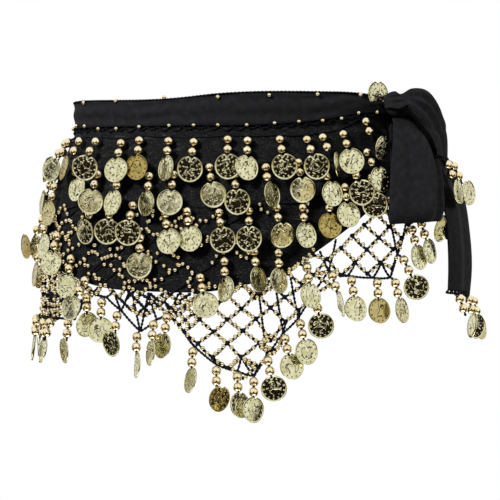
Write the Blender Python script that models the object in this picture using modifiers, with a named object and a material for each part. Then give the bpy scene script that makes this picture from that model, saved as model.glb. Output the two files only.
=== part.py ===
"""Black hip scarf with rows of coins, in the ring it forms when worn, tied in a half bow.

The origin is the middle of the ring at the height of the waistband. +Z is up, -Y is the front
and +X the side of the bow. Sizes are in millimetres and become metres where a point is made.
"""
import math
import random

import bmesh
import bpy
import numpy as np
from mathutils import Vector

MM = 0.001

# The worn ring: half its width and depth at the waist, and what it swells by at the hips
WAIST_HALF_WIDTH = 149.0
WAIST_HALF_DEPTH = 105.0
SWELL_WIDTH = 29.0
SWELL_DEPTH = 17.0
FLARE_TOP = -12.0
FLARE_FALL = 140.0
FLARE_POWER = 2.2
TAPE_HEIGHT = -83.0

# Places along the scarf run from the front middle, and are positive towards the bow
KNOT_ALONG = 144.0
COLUMNS = 56
SEAM = 0.3

# Edges of the cloth, from its far end behind the knot round the back and left side to its near end
#             along, height
BAND_TOP = ((-776, 12), (-700, 14), (-316, 12), (-200, 13), (-66, 12), (-30, 15), (60, 17),
            (117, 16), (135, 14), (144, 12))
BAND_FOOT = ((-776, 0), (-740, -6), (-680, -10), (-200, -10), (-57, -11), (25, -10), (71, -6),
             (109, 0), (130, 1), (144, 1))
HEM = ((-776, -46), (-740, -52), (-700, -62), (-560, -66), (-420, -66), (-370, -72), (-330, -86),
       (-300, -102), (-270, -113), (-240, -118), (-205, -117), (-174, -127), (-147, -139),
       (-122, -145), (-80, -148), (-24, -147), (0, -142), (32, -129), (71, -104), (102, -82),
       (121, -68), (136, -54), (146, -46), (160, -46), (180, -52))

# Thicknesses, and how far the outer faces stand from the hips' own surface
BAND_WALL = 1.6
BAND_OUT = 1.0
PANEL_WALL = 1.5
PANEL_ROWS = 6
BOW_WALL = 1.5

# Largest creases of the panel, each a soft ridge or trough along a straight line
#         along, height, to along, to height, half width, rise
CREASES = (
    (128, -8, 72, -26, 11, 1.5),
    (126, -24, 80, -44, 10, -1.2),
    (56, -32, -24, -40, 12, 1.0),
    (40, -96, -30, -104, 13, 1.4),
    (-40, -70, -112, -60, 12, -1.3),
    (-60, -104, -140, -96, 13, 1.5),
    (-150, -64, -200, -74, 12, -1.2),
    (-190, -98, -250, -88, 13, 1.3),
    (-236, -40, -290, -46, 12, 1.0),
    (-262, -92, -330, -66, 13, 1.4),
    (-360, -34, -420, -50, 11, 1.2),
    (-440, -52, -505, -38, 11, -1.2),
    (-520, -32, -580, -52, 11, 1.4),
    (-590, -50, -655, -40, 11, -1.2),
    (-668, -28, -735, -46, 11, 1.3),
)

# One drop: two beads and a coin under a chain
BEAD_RADIUS = 4.0
BEAD_CORNER = 3.1
UPPER_BEAD_FALL = 4.3
NECK_FALL = 8.4
LOWER_BEAD_FALL = 12.5
COIN_FALL = 26.8
COIN_RADIUS = 10.75
COIN_WALL = 1.2
COIN_SIDES = 10
COIN_TOP_ANGLE = 10.0
NECK_HALF = 0.8
BEAD_OUT = 4.7
COIN_OUT = 5.2
STAND_STEP = 0.75
STAND_TRIES = 24
CLEARANCE = 0.5

# Chain that the drops are worked into
CHAIN_RISE = 1.0
CHAIN_DROP = 0.8
CHAIN_DEPTH = 1.4
CHAIN_GAP = 0.4
ROOT_HALF = 1.2
LONGEST_RUN = 26.0
BORDER_BASE = 1.2
TAIL_SEAM = 0.9

# Drops on the cloth that shows: the coin hangs aside by sway and is turned from the cloth
#         along, height of root, sway, turn
ROW_1 = (
    (-286, -18, 3, -12), (-257, -18, -4, 20), (-228, -18, 3, -8), (-202, -18, 2, 26),
    (-175, -18, 2, -15), (-150, -19, 10, 42), (-120, -21, 8, 4), (-102, -19, 8, -7),
    (-73, -20, 6, -37), (-49, -21, 0, 13), (-19, -19, 2, 2), (-1, -20, -1, 28),
    (27, -19, 2, -6), (51, -19, 4, -14), (66, -17, 3, 54), (87, -14, -1, -10), (112, -3, 2, 26),
)
ROW_2 = (
    (-290, -47, 4, 10), (-260, -47, 3, -18), (-230, -46, 4, 9), (-198, -56, 10, 10),
    (-170, -36, 14, -3), (-136, -47, 4, 32), (-113, -48, 5, -17), (-85, -49, 5, -31),
    (-63, -48, 0, 13), (-34, -42, 6, -1), (-12, -48, 3, 4), (14, -42, 2, 46),
    (42, -38, 1, 1), (64, -41, 1, 19), (90, -40, -1, -8), (106, -29, 1, 7),
)
ROW_3 = (
    (-278, -80, -3, 16), (-252, -84, 4, -10), (-228, -84, 2, 22), (-202, -84, 8, 7),
    (-137, -72, 2, -10), (-116, -72, 3, 30), (-96, -73, 3, 27), (-68, -80, 6, -10),
    (-50, -78, 5, -15), (-24, -79, 4, 5), (0, -78, 0, 2), (22, -75, 2, 20),
    (43, -75, 0, 28), (65, -67, -1, 10), (80, -58, 0, 6), (106, -50, -4, -26),
)
ROW_4 = (
    (-250, -110, -3, -16), (-222, -108, 3, 8), (-173, -98, 0, 20),
    (-152, -117, -2, 11), (-135, -135, 1, -4), (-87, -100, 2, 15), (-38, -132, 5, 2),
    (-19, -119, 2, -49), (4, -111, 2, 49), (23, -112, -1, 42), (45, -124, -1, 28),
)
NET_EDGE = (
    (-312, -100, -3, -10), (-296, -120, 0, 10), (-277, -142, 3, -14), (-256, -160, -2, 20),
    (-234, -169, 3, 10), (-212, -171, 3, -12), (-190, -172, 4, -8), (-177, -171, 4, -30),
    (-154, -171, 4, -25), (-134, -149, 3, 8), (-119, -153, 3, 25), (-105, -164, 5, -22),
    (-88, -181, 5, -57), (-74, -171, 2, -51), (-63, -165, -1, -32), (-43, -193, 1, -53),
    (-25, -208, 2, 43), (-9, -213, 2, 43), (4, -217, -1, 35), (14, -200, 5, -5),
    (27, -182, 5, 17), (39, -170, 4, 20), (51, -149, 3, -12), (64, -131, 3, 56),
    (80, -135, 0, 11), (102, -137, 1, 4), (118, -137, 2, 25), (126, -118, 4, -34),
    (138, -93, 1, 11), (149, -88, 3, 12), (160, -70, 2, 9), (171, -68, 2, 10),
)

# Hidden back, where the cloth is shallow: two rows, spaced evenly
BACK_ROWS = {"row_1": -18.0, "row_2": -45.0}
BACK_START = -668.0
BACK_STOP = -312.0
BACK_SPACING = 27.0
BACK_TURN = 28.0
BACK_SWAY = 3.0
SEED = 11

# Net of diamonds under the hem
NET_HALF_WIDE = 11.5
NET_HALF_HIGH = 9.5
NET_HOLE_SHARE = 0.8
NET_WALL = 1.8
NET_SEAM = 0.5
NET_END = 176.0
NET_NOTCH = -134.0
NET_TOP = -62.0
NET_EDGE_CORD = 1.4
NET_REACH = 8.0

# Tie: the knot and the strips that leave it, by angle round the ring in degrees
KNOT_ALONG_HALF = 9.5
KNOT_HALF_HEIGHT = 9.0
KNOT_HALF_OUT = 9.0
KNOT_HEIGHT = 6.0
#      angle, height, out of the left edge; the same of the right edge; share of the ripple
LOOP = (
    (48.5, -3.8, 11.5, 54.0, -3.4, 11.5, 0.0),
    (46.8, -12, 17, 59.5, -8, 17, 0.6),
    (43.0, -28, 21, 63.2, -22, 20.5, 1.0),
    (39.5, -50, 23, 62.0, -46, 23, 1.0),
    (37.5, -68, 24.5, 58.5, -66, 25, 1.0),
    (36.0, -84, 25.5, 56.0, -81, 26, 0.7),
    (36.6, -93, 21.5, 55.0, -90, 21.5, 0.3),
    (37.5, -85, 16.5, 55.0, -82, 16.5, 0.0),
    (40.0, -60, 15.0, 58.0, -56, 15.0, 0.0),
    (44.0, -28, 13.0, 59.5, -22, 13.0, 0.0),
    (47.5, -9, 11.0, 54.5, -8, 11.0, 0.0),
)
SHORT_TAIL = (
    (50.4, 7.5, 24.3, 50.8, 16.5, 15.3, 0.0),
    (52.3, 3, 25.4, 55.5, 21.5, 17.0, 0.4),
    (54.8, -4, 26.4, 62.0, 21, 19.5, 1.0),
    (57.0, -10, 27.0, 68.0, 14, 21.0, 1.0),
    (58.4, -17, 27.3, 73.0, 3, 22.0, 1.0),
    (59.2, -24, 27.2, 76.5, -11, 22.5, 1.0),
    (59.6, -35, 26.0, 74.5, -38, 15.0, 0.6),
)
LONG_TAIL = (
    (56.5, -7, 2.9, 58.5, 7, 2.9, 0.0),
    (57.5, -17, 6.0, 66.0, 1, 5.0, 0.4),
    (59.5, -33, 11.0, 76.0, -11, 9.5, 1.0),
    (61.0, -56, 14.0, 85.0, -32, 13.5, 1.0),
    (62.0, -85, 15.0, 88.5, -62, 16.5, 1.0),
    (61.7, -105, 14.5, 88.5, -96, 15.5, 1.0),
    (61.5, -130, 13.5, 88.5, -126, 14.5, 1.0),
    (61.5, -148, 12.5, 88.0, -152, 12.5, 0.6),
)
#               across, rise
LOOP_RIPPLE = ((0.0, 0.0), (0.2, 1.5), (0.42, -3.0), (0.76, 2.5), (1.0, -0.5))
TAIL_RIPPLE = ((0.0, 0.0), (0.3, 1.8), (0.55, -1.2), (0.8, 1.4), (1.0, 0.0))
BOW_COLUMNS = 7
BOW_STEPS = 2

# Drops of the tails' ends: angle, sway, turn
SHORT_TAIL_DROPS = ((65.0, 0, 6), (69.2, 0, -6))
LONG_TAIL_DROPS = ((66.0, 1, 45), (75.0, 1, -25), (86.0, 1, -30))

COIN_BESIDE_KNOT = (129.8, 16.5)


def half_sizes(height):
    """Half width and half depth of the ring of cloth at a height."""
    fall = min(max((FLARE_TOP - height) / FLARE_FALL, 0.0), 1.0)
    swell = 1.0 - (1.0 - fall) ** FLARE_POWER
    return WAIST_HALF_WIDTH + SWELL_WIDTH * swell, WAIST_HALF_DEPTH + SWELL_DEPTH * swell


def tape():
    """Angles round the ring and the distance along it that each stands for."""
    width, depth = half_sizes(TAPE_HEIGHT)
    angles = np.linspace(-2 * math.pi, 2 * math.pi, 4001)
    middles = (angles[1:] + angles[:-1]) / 2
    steps = np.hypot(width * np.cos(middles), depth * np.sin(middles)) * np.diff(angles)
    lengths = np.concatenate(([0.0], np.cumsum(steps)))
    return angles, lengths - lengths[len(lengths) // 2]


TAPE_ANGLES, TAPE_LENGTHS = tape()
RING = 2 * float(np.interp(math.pi, TAPE_ANGLES, TAPE_LENGTHS))
MIDDLE = KNOT_ALONG - RING / 2
CLOTH_ENDS = (KNOT_ALONG - RING + SEAM, KNOT_ALONG - SEAM)


def angle_at(along):
    return float(np.interp(along, TAPE_LENGTHS, TAPE_ANGLES))


def along_at(degrees):
    return float(np.interp(math.radians(degrees), TAPE_ANGLES, TAPE_LENGTHS))


def by_angle(degrees, height, out):
    """A point in metres, out from the ring of cloth, at an angle from the front middle."""
    width, depth = half_sizes(height)
    turn = math.radians(degrees)
    return Vector(((width + out) * math.sin(turn) * MM, -(depth + out) * math.cos(turn) * MM, height * MM))


def on_hips(along, height, out):
    """A point in metres, out from the ring of cloth, at a distance along it."""
    return by_angle(math.degrees(angle_at(along)), height, out)


def read(table, along):
    """Height of an edge, from a smooth curve through its table."""
    places = np.array([row[0] for row in table], dtype=float)
    heights = np.array([row[1] for row in table], dtype=float)
    slopes = np.gradient(heights, places)
    place = min(max(along, places[0]), places[-1])
    k = min(int(np.searchsorted(places, place, side="right")) - 1, len(places) - 2)
    run = places[k + 1] - places[k]
    s = (place - places[k]) / run
    ease = s * s * (3 - 2 * s)
    lift = run * (slopes[k] * s * (1 - s) ** 2 - slopes[k + 1] * s * s * (1 - s))
    return float(heights[k] * (1 - ease) + heights[k + 1] * ease + lift)


def crease_out(along, height):
    """How far the panel's creases lift its outer face."""
    lift = 0.0
    for from_along, from_height, to_along, to_height, half_width, rise in CREASES:
        run = np.array((to_along - from_along, to_height - from_height), dtype=float)
        reach = np.array((along - from_along, height - from_height), dtype=float)
        share = min(max(float(reach @ run) / float(run @ run), 0.0), 1.0)
        away = float(np.hypot(*(reach - share * run))) / half_width
        fade = math.sin(math.pi * (0.12 + 0.76 * share))
        lift += rise * fade * math.exp(-away * away)
    return lift


def chord_lift(along, run):
    """How far a straight run of chain must stand out to clear the round cloth under it."""
    width, depth = half_sizes(TAPE_HEIGHT)
    turn = angle_at(along)
    radius = math.hypot(width * math.cos(turn), depth * math.sin(turn)) ** 3 / (width * depth)
    return run * run / (8 * radius)


def clear_scene():
    for item in list(bpy.data.objects):
        bpy.data.objects.remove(item, do_unlink=True)


def finish(name, colour, roughness, metallic):
    """A plain material for one kind of cloth or metal."""
    material = bpy.data.materials.new(name)
    material.use_nodes = True
    shader = material.node_tree.nodes["Principled BSDF"]
    shader.inputs["Base Color"].default_value = (*colour, 1.0)
    shader.inputs["Roughness"].default_value = roughness
    shader.inputs["Metallic"].default_value = metallic
    return material


def add_part(name, mesh, material, collection):
    part = bpy.data.objects.new(name, mesh)
    part.data.materials.append(material)
    collection.objects.link(part)
    return part


def sheet_mesh(name, rows):
    """An open sheet from rows of points, top row first and each row from left to right."""
    mesh = bpy.data.meshes.new(name)
    bm = bmesh.new()
    made = [[bm.verts.new(point) for point in row] for row in rows]
    for upper, lower in zip(made, made[1:]):
        for k in range(len(upper) - 1):
            bm.faces.new((upper[k], lower[k], lower[k + 1], upper[k + 1]))
    bm.to_mesh(mesh)
    bm.free()
    return mesh


def thicken(part, wall):
    """Gives an open sheet its wall, grown inward from its outer face."""
    solidify = part.modifiers.new("Wall", "SOLIDIFY")
    solidify.thickness = wall * MM
    solidify.offset = -1.0


def ring_columns():
    """Places of the cloth's columns, evenly turned, from one end round to the other."""
    turns = np.linspace(angle_at(CLOTH_ENDS[0]), angle_at(CLOTH_ENDS[1]), COLUMNS + 1)
    return [float(np.interp(turn, TAPE_ANGLES, TAPE_LENGTHS)) for turn in turns]


def make_waistband(material, collection):
    """The folded band: its two ends meet under the knot."""
    columns = ring_columns()
    top = [on_hips(along, read(BAND_TOP, along), BAND_OUT) for along in columns]
    foot = [on_hips(along, read(BAND_FOOT, along), BAND_OUT) for along in columns]
    part = add_part("waistband", sheet_mesh("waistband", (top, foot)), material, collection)
    thicken(part, BAND_WALL)


def make_panel(material, collection):
    """The crushed cloth from the band's foot to the pointed hem."""
    columns = ring_columns()
    rows = []
    for k in range(PANEL_ROWS + 1):
        row = []
        for along in columns:
            top = read(BAND_FOOT, along) - SEAM
            height = top + (read(HEM, along) - top) * k / PANEL_ROWS
            row.append(on_hips(along, height, crease_out(along, height)))
        rows.append(row)
    part = add_part("panel", sheet_mesh("panel", rows), material, collection)
    thicken(part, PANEL_WALL)


class Drop:
    """Two beads and a coin, hung from a root at a place on the cloth or on a tail."""

    def __init__(self, along, height, sway, turn, base=0.0):
        self.along = along
        self.height = height
        self.sway = sway
        self.turn = math.radians(turn)
        self.base = base
        self.least = base + COIN_OUT + COIN_RADIUS * abs(math.sin(self.turn))
        self.settle(self.least)

    def settle(self, stand):
        """Places the beads and the coin with the coin's middle this far out."""
        extra = stand - self.base - COIN_OUT
        bead_out = self.base + BEAD_OUT
        self.upper = self.at(0.15, UPPER_BEAD_FALL, bead_out + 0.1 * extra)
        self.neck = self.at(0.3, NECK_FALL, bead_out + 0.3 * extra)
        self.lower = self.at(0.42, LOWER_BEAD_FALL, bead_out + 0.5 * extra)
        self.coin = self.at(1.0, COIN_FALL, stand)
        here = self.along + self.sway
        level = self.height - COIN_FALL
        aside = (on_hips(here + 1, level, stand) - on_hips(here - 1, level, stand)).normalized()
        self.up = (self.lower - self.coin).normalized()
        outward = aside.cross(self.up).normalized()
        face = outward * math.cos(self.turn) + aside * math.sin(self.turn)
        self.face = (face - self.up * face.dot(self.up)).normalized()
        self.across = self.up.cross(self.face)
        self.hook = self.coin + self.up * (COIN_RADIUS + 1.0) * MM

    def at(self, share, fall, out):
        return on_hips(self.along + share * self.sway, self.height - fall, out)

    def rim(self):
        """The coin's rim points, from just right of its top round to just left of it."""
        first = math.radians(COIN_TOP_ANGLE)
        step = (2 * math.pi - 2 * first) / (COIN_SIDES - 1)
        points = []
        for k in range(COIN_SIDES):
            turn = first + k * step
            reach = self.up * math.cos(turn) + self.across * math.sin(turn)
            points.append(self.coin + reach * COIN_RADIUS * MM)
        return points

    def clears(self, other):
        """Whether the two drops stay apart."""
        if (self.coin - other.coin).length > 3 * (COIN_RADIUS + COIN_FALL) * MM:
            return True
        reach = (2 * COIN_RADIUS + COIN_WALL) * MM
        if (self.coin - other.coin).length < reach:
            if not (self.beside(other) or other.beside(self)):
                return False
        for mine, hers in ((self, other), (other, self)):
            for bead in (hers.upper, hers.neck, hers.lower):
                if mine.coin_to(bead) < (BEAD_RADIUS + COIN_WALL / 2 + CLEARANCE) * MM:
                    return False
            if mine.coin_to(hers.hook) < 2 * COIN_WALL * MM:
                return False
        for bead in (self.upper, self.lower):
            for her_bead in (other.upper, other.lower):
                if (bead - her_bead).length < (2 * BEAD_RADIUS + CLEARANCE) * MM:
                    return False
        return True

    def beside(self, other):
        """Whether the other coin lies wholly on one side of this coin's plane."""
        gap = (COIN_WALL + CLEARANCE) * MM
        sides = [(point - self.coin).dot(self.face) for point in other.rim()]
        return min(sides) > gap or max(sides) < -gap

    def coin_to(self, point):
        """Distance from the coin's flat disc to a point."""
        reach = point - self.coin
        off = abs(reach.dot(self.face))
        aside = max((reach - self.face * reach.dot(self.face)).length - COIN_RADIUS * MM, 0.0)
        return math.hypot(off, aside)


def hang_all(rows, hung, base=0.0):
    """Hangs drops one by one, each as close to the cloth as those already hung allow."""
    new = []
    for along, height, sway, turn in rows:
        drop = Drop(along, height, sway, turn, base)
        for k in range(STAND_TRIES):
            drop.settle(drop.least + k * STAND_STEP)
            if all(drop.clears(other) for other in hung):
                break
        hung.append(drop)
        new.append(drop)
    return new


def across_back(height, chance):
    """Evenly spaced drops of one row on the hidden back."""
    count = int((BACK_STOP - BACK_START) / BACK_SPACING)
    rows = []
    for k in range(count):
        sway = chance.uniform(-BACK_SWAY, BACK_SWAY)
        rows.append((BACK_START + k * BACK_SPACING, height, sway, chance.uniform(-BACK_TURN, BACK_TURN)))
    return tuple(rows)


def ring_corners(bm, middle, along, height, half):
    """Four corners round a strand, ordered as the chain's open foot."""
    aside = (on_hips(along + 1, height, 0) - on_hips(along - 1, height, 0)).normalized() * half * MM
    outward = Vector((aside.y, -aside.x, 0.0))
    order = (-aside - outward, aside - outward, aside + outward, -aside + outward)
    return [bm.verts.new(middle + step) for step in order]


def join_rings(bm, first, second):
    for k in range(len(first)):
        after = (k + 1) % len(first)
        bm.faces.new((first[k], first[after], second[after], second[k]))


def add_drop(bm, foot, drop):
    """Works one drop into the chain's open foot: strand, two beads and coin as one skin."""
    rings = [foot]
    for middle, fall, half in ((drop.upper, UPPER_BEAD_FALL, BEAD_CORNER),
                               (drop.neck, NECK_FALL, NECK_HALF),
                               (drop.lower, LOWER_BEAD_FALL, BEAD_CORNER)):
        rings.append(ring_corners(bm, middle, drop.along, drop.height - fall, half))
    shift = drop.face * (COIN_WALL / 2) * MM
    front = [bm.verts.new(point + shift) for point in drop.rim()]
    back = [bm.verts.new(point - shift) for point in drop.rim()]
    rings.append([back[-1], back[0], front[0], front[-1]])
    for first, second in zip(rings, rings[1:]):
        join_rings(bm, first, second)
    bm.faces.new(front)
    bm.faces.new(back)
    for k in range(COIN_SIDES - 1):
        bm.faces.new((front[k], front[k + 1], back[k + 1], back[k]))


def chain_section(bm, along, height, out):
    """Three corners of the chain: its ridge, then the inner and outer edge of its foot."""
    ridge = on_hips(along, height + CHAIN_RISE, out + CHAIN_DEPTH / 2)
    inner = on_hips(along, height - CHAIN_DROP, out)
    outer = on_hips(along, height - CHAIN_DROP, out + CHAIN_DEPTH)
    return [bm.verts.new(point) for point in (ridge, inner, outer)]


def make_chain(name, drops, out_at, margin, material, collection):
    """A chain through the roots of its drops, with the drops worked into its foot."""
    drops = sorted(drops, key=lambda drop: drop.along)
    places = [(drops[0].along - margin, drops[0].height, None)]
    for drop in drops:
        start, level, _ = places[-1]
        stop = drop.along - ROOT_HALF
        runs = math.ceil((stop - start) / LONGEST_RUN)
        for k in range(1, runs + 1):
            share = k / runs
            places.append((start + (stop - start) * share, level + (drop.height - level) * share, None))
        places.append((drop.along + ROOT_HALF, drop.height, drop))
    places.append((drops[-1].along + margin, drops[-1].height, None))
    mesh = bpy.data.meshes.new(name)
    bm = bmesh.new()
    sections = []
    for k, (along, height, drop) in enumerate(places):
        before = places[max(k - 1, 0)][0]
        after = places[min(k + 1, len(places) - 1)][0]
        out = out_at(along, height, max(along - before, after - along))
        sections.append(chain_section(bm, along, height, out))
    for k in range(1, len(sections)):
        left, right = sections[k - 1], sections[k]
        bm.faces.new((left[0], right[0], right[1], left[1]))
        bm.faces.new((left[0], right[0], right[2], left[2]))
        drop = places[k][2]
        if drop is None:
            bm.faces.new((left[1], right[1], right[2], left[2]))
        else:
            add_drop(bm, [left[1], right[1], right[2], left[2]], drop)
    bm.faces.new(sections[0])
    bm.faces.new(sections[-1])
    bm.normal_update()
    bmesh.ops.recalc_face_normals(bm, faces=bm.faces)
    bm.to_mesh(mesh)
    bm.free()
    add_part(name, mesh, material, collection)


def out_on_panel(along, height, run):
    """Clear of the creases and of the round cloth, all along a straight run."""
    rise = max(crease_out(along + run * share, height) for share in (-1, -0.6, -0.3, 0, 0.3, 0.6, 1))
    return rise + CHAIN_GAP + chord_lift(along, run)


def out_on_net(along, height, run):
    return max(out_on_panel(along, height, run), CHAIN_GAP + chord_lift(along, run))


def hem_line():
    """The panel's hem as it is made, straight from column to column."""
    columns = ring_columns()
    return columns, [read(HEM, along) for along in columns]


def net_cells(edge):
    """Diamonds between the hem and the net's edge, as steps from the scarf's middle."""
    nearest = int((NET_END - MIDDLE) / NET_HALF_WIDE)
    furthest = int((edge[0][0] - MIDDLE) / NET_HALF_WIDE) + 1
    deepest = min(row[1] for row in edge)
    cells = set()
    for across in range(furthest, nearest + 1):
        along = MIDDLE + across * NET_HALF_WIDE
        foot = float(np.interp(along, [row[0] for row in edge], [row[1] for row in edge]))
        top = min(read(HEM, along), NET_TOP)
        for down in range(int(-deepest / NET_HALF_HIGH) + 2):
            height = -down * NET_HALF_HIGH
            odd = (across + down) % 2 == 1
            if odd and foot + 0.55 * NET_HALF_HIGH < height < top - 0.6 * NET_HALF_HIGH:
                cells.add((across, down))
    return mend_pinches(cells)


def corners_of(cell):
    across, down = cell
    return ((across, down - 1), (across - 1, down), (across, down + 1), (across + 1, down))


def largest_body(cells):
    """The diamonds that hang together, without any that stand alone."""
    left = set(cells)
    largest = set()
    while left:
        start = min(left)
        left.remove(start)
        waiting = [start]
        body = {start}
        while waiting:
            across, down = waiting.pop()
            for step in ((1, 1), (1, -1), (-1, 1), (-1, -1)):
                beside = (across + step[0], down + step[1])
                if beside in left:
                    left.remove(beside)
                    body.add(beside)
                    waiting.append(beside)
        if len(body) > len(largest):
            largest = body
    return largest


def mend_pinches(cells):
    """Adds a diamond wherever two would meet in a single point."""
    cells = set(cells)
    for _ in range(4):
        missing = set()
        for across, down in {corner for cell in cells for corner in corners_of(cell)}:
            above, below = (across, down - 1) in cells, (across, down + 1) in cells
            left, right = (across - 1, down) in cells, (across + 1, down) in cells
            if left and right and not above and not below:
                missing.add((across, down + 1))
            if above and below and not left and not right:
                missing.add((across - 1, down))
        if not missing:
            break
        cells |= missing
    return cells


def net_corner(corner, cells, edge, hem_places):
    """Place of a knot of the net: outer knots are drawn to the hem or to the border."""
    across, down = corner
    along = MIDDLE + across * NET_HALF_WIDE
    height = -down * NET_HALF_HIGH
    hem = float(np.interp(along, *hem_places)) - NET_SEAM
    border = float(np.interp(along, [row[0] for row in edge], [row[1] for row in edge]))
    above, below = (across, down - 1) in cells, (across, down + 1) in cells
    left, right = (across - 1, down) in cells, (across + 1, down) in cells
    if not above and below and height > hem - NET_REACH and not left and not right:
        height = hem
    elif not above:
        height = min(height + NET_EDGE_CORD, hem)
    if not below and above:
        height = max(border, min(height, border + NET_REACH)) if not left or not right else height
    if not below:
        height = max(height - NET_EDGE_CORD, border)
    if not left and not (above and not below) and not (below and not above):
        along -= NET_EDGE_CORD
    if not right and not (above and not below) and not (below and not above):
        along += NET_EDGE_CORD
    return along, height


def make_net(name, cells, whole, edge, material, collection):
    """Cut-through net: each diamond is a frame of four cords round its hole."""
    mesh = bpy.data.meshes.new(name)
    bm = bmesh.new()
    knots = {}
    places = {}
    centre = sum(cell[0] for cell in cells) / len(cells)
    met = {corner for cell in whole - cells for corner in corners_of(cell)}
    hem_places = hem_line()
    for cell in sorted(cells):
        for corner in corners_of(cell):
            if corner not in knots:
                along, height = net_corner(corner, whole, edge, hem_places)
                if corner in met:
                    along += math.copysign(SEAM, centre - corner[0])
                places[corner] = (along, height)
                knots[corner] = bm.verts.new(on_hips(along, height, 0.0))
    for cell in sorted(cells):
        corners = corners_of(cell)
        middle_along = sum(places[corner][0] for corner in corners) / 4
        middle_height = sum(places[corner][1] for corner in corners) / 4
        hole = []
        for corner in corners:
            along = middle_along + (places[corner][0] - middle_along) * NET_HOLE_SHARE
            height = middle_height + (places[corner][1] - middle_height) * NET_HOLE_SHARE
            hole.append(bm.verts.new(on_hips(along, height, 0.0)))
        for k in range(4):
            after = (k + 1) % 4
            bm.faces.new((knots[corners[k]], knots[corners[after]], hole[after], hole[k]))
    bm.to_mesh(mesh)
    bm.free()
    part = add_part(name, mesh, material, collection)
    thicken(part, NET_WALL)


def ripple_at(table, across):
    return float(np.interp(across, [row[0] for row in table], [row[1] for row in table]))


def blend_rows(table, steps):
    """Rows between the rows of a table, on a smooth curve through them."""
    values = np.array(table, dtype=float)
    slopes = np.gradient(values, axis=0)
    rows = []
    for k in range(len(values) - 1):
        for step in range(steps):
            s = step / steps
            ease = s * s * (3 - 2 * s)
            lift = slopes[k] * s * (1 - s) ** 2 - slopes[k + 1] * s * s * (1 - s)
            rows.append(values[k] * (1 - ease) + values[k + 1] * ease + lift)
    rows.append(values[-1])
    return rows


def make_strip(name, table, ripple, material, collection):
    """One strip of the tie, laid through its table of sections."""
    rows = []
    for section in blend_rows(table, BOW_STEPS):
        left, right, share = section[0:3], section[3:6], section[6]
        row = []
        for k in range(BOW_COLUMNS):
            across = k / (BOW_COLUMNS - 1)
            degrees, height, out = left + (right - left) * across
            row.append(by_angle(degrees, height, out + share * ripple_at(ripple, across)))
        rows.append(row)
    part = add_part(name, sheet_mesh(name, rows), material, collection)
    thicken(part, BOW_WALL)


def make_knot(material, collection):
    """The tie's knot: a round lump wrapped by three soft turns of cloth."""
    mesh = bpy.data.meshes.new("knot")
    bm = bmesh.new()
    bmesh.ops.create_uvsphere(bm, u_segments=14, v_segments=9, radius=1.0)
    degrees = math.degrees(angle_at(KNOT_ALONG))
    middle_out = BAND_OUT + SEAM + KNOT_HALF_OUT
    middle = by_angle(degrees, KNOT_HEIGHT, middle_out)
    aside = (by_angle(degrees + 1, 0, middle_out) - by_angle(degrees - 1, 0, middle_out)).normalized()
    outward = Vector((aside.y, -aside.x, 0.0))
    for vert in bm.verts:
        side, height, out = vert.co.x, vert.co.z, -vert.co.y
        wrap = 1.0 - 0.09 * max(out, 0.0) * (1 + math.cos(7.0 * (height + 0.5 * side)))
        step = aside * side * KNOT_ALONG_HALF + outward * out * KNOT_HALF_OUT
        step += Vector((0, 0, height * KNOT_HALF_HEIGHT))
        vert.co = middle + step * wrap * MM
    bm.normal_update()
    bmesh.ops.recalc_face_normals(bm, faces=bm.faces)
    bm.to_mesh(mesh)
    bm.free()
    add_part("knot", mesh, material, collection)


def make_coin_beside_knot(material, collection):
    """The coin that lies on the band, tucked in beside the knot."""
    mesh = bpy.data.meshes.new("tucked_coin")
    bm = bmesh.new()
    along, height = COIN_BESIDE_KNOT
    bmesh.ops.create_cone(bm, cap_ends=True, segments=2 * COIN_SIDES, radius1=COIN_RADIUS * MM,
                          radius2=COIN_RADIUS * MM, depth=COIN_WALL * MM)
    out = BAND_OUT + SEAM + COIN_WALL / 2 + chord_lift(along, COIN_RADIUS)
    aside = (on_hips(along + 1, height, out) - on_hips(along - 1, height, out)).normalized()
    outward = Vector((aside.y, -aside.x, 0.0))
    middle = on_hips(along, height, out)
    for vert in bm.verts:
        x, y, z = vert.co
        vert.co = middle + aside * x + Vector((0, 0, y)) + outward * z
    bm.normal_update()
    bmesh.ops.recalc_face_normals(bm, faces=bm.faces)
    bm.to_mesh(mesh)
    bm.free()
    add_part("tucked_coin", mesh, material, collection)


def make_tail_fringe(name, table, drops, material, collection):
    """Chain and drops under the end of a tail."""
    end = table[-1]
    half = BOW_WALL / 2 + CHAIN_DEPTH / 2
    rows = []
    for degrees, sway, turn in drops:
        share = (degrees - end[0]) / (end[3] - end[0])
        height = end[1] + (end[4] - end[1]) * share - CHAIN_RISE - TAIL_SEAM
        rows.append((along_at(degrees), height, sway, turn))
    base = (end[2] + end[5]) / 2 - half
    hung = hang_all(rows, [], base)
    make_chain(name, hung, lambda along, height, run: base, 5.0, material, collection)


def make_rows_and_net(materials, collection):
    """Hangs every drop from the lowest row up, then makes the chains and the net."""
    chance = random.Random(SEED)
    hung = []
    border = hang_all(NET_EDGE, hung, BORDER_BASE)
    make_chain("net_fringe", border, out_on_net, 4.0, materials["gold"], collection)
    for name, rows in (("row_4", ROW_4), ("row_3", ROW_3), ("row_2", ROW_2), ("row_1", ROW_1)):
        if name in BACK_ROWS:
            rows = across_back(BACK_ROWS[name], chance) + rows
        drops = hang_all(rows, hung)
        make_chain(name, drops, out_on_panel, 4.0, materials["gold"], collection)
    line = [row[:2] for row in NET_EDGE]
    cells = net_cells(line)
    notch = (NET_NOTCH - MIDDLE) / NET_HALF_WIDE
    front = largest_body({cell for cell in cells if cell[0] > notch})
    side = largest_body({cell for cell in cells if cell[0] <= notch})
    whole = front | side
    for name, part_cells in (("net_front", front), ("net_side", side)):
        make_net(name, part_cells, whole, line, materials["cord"], collection)


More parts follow.
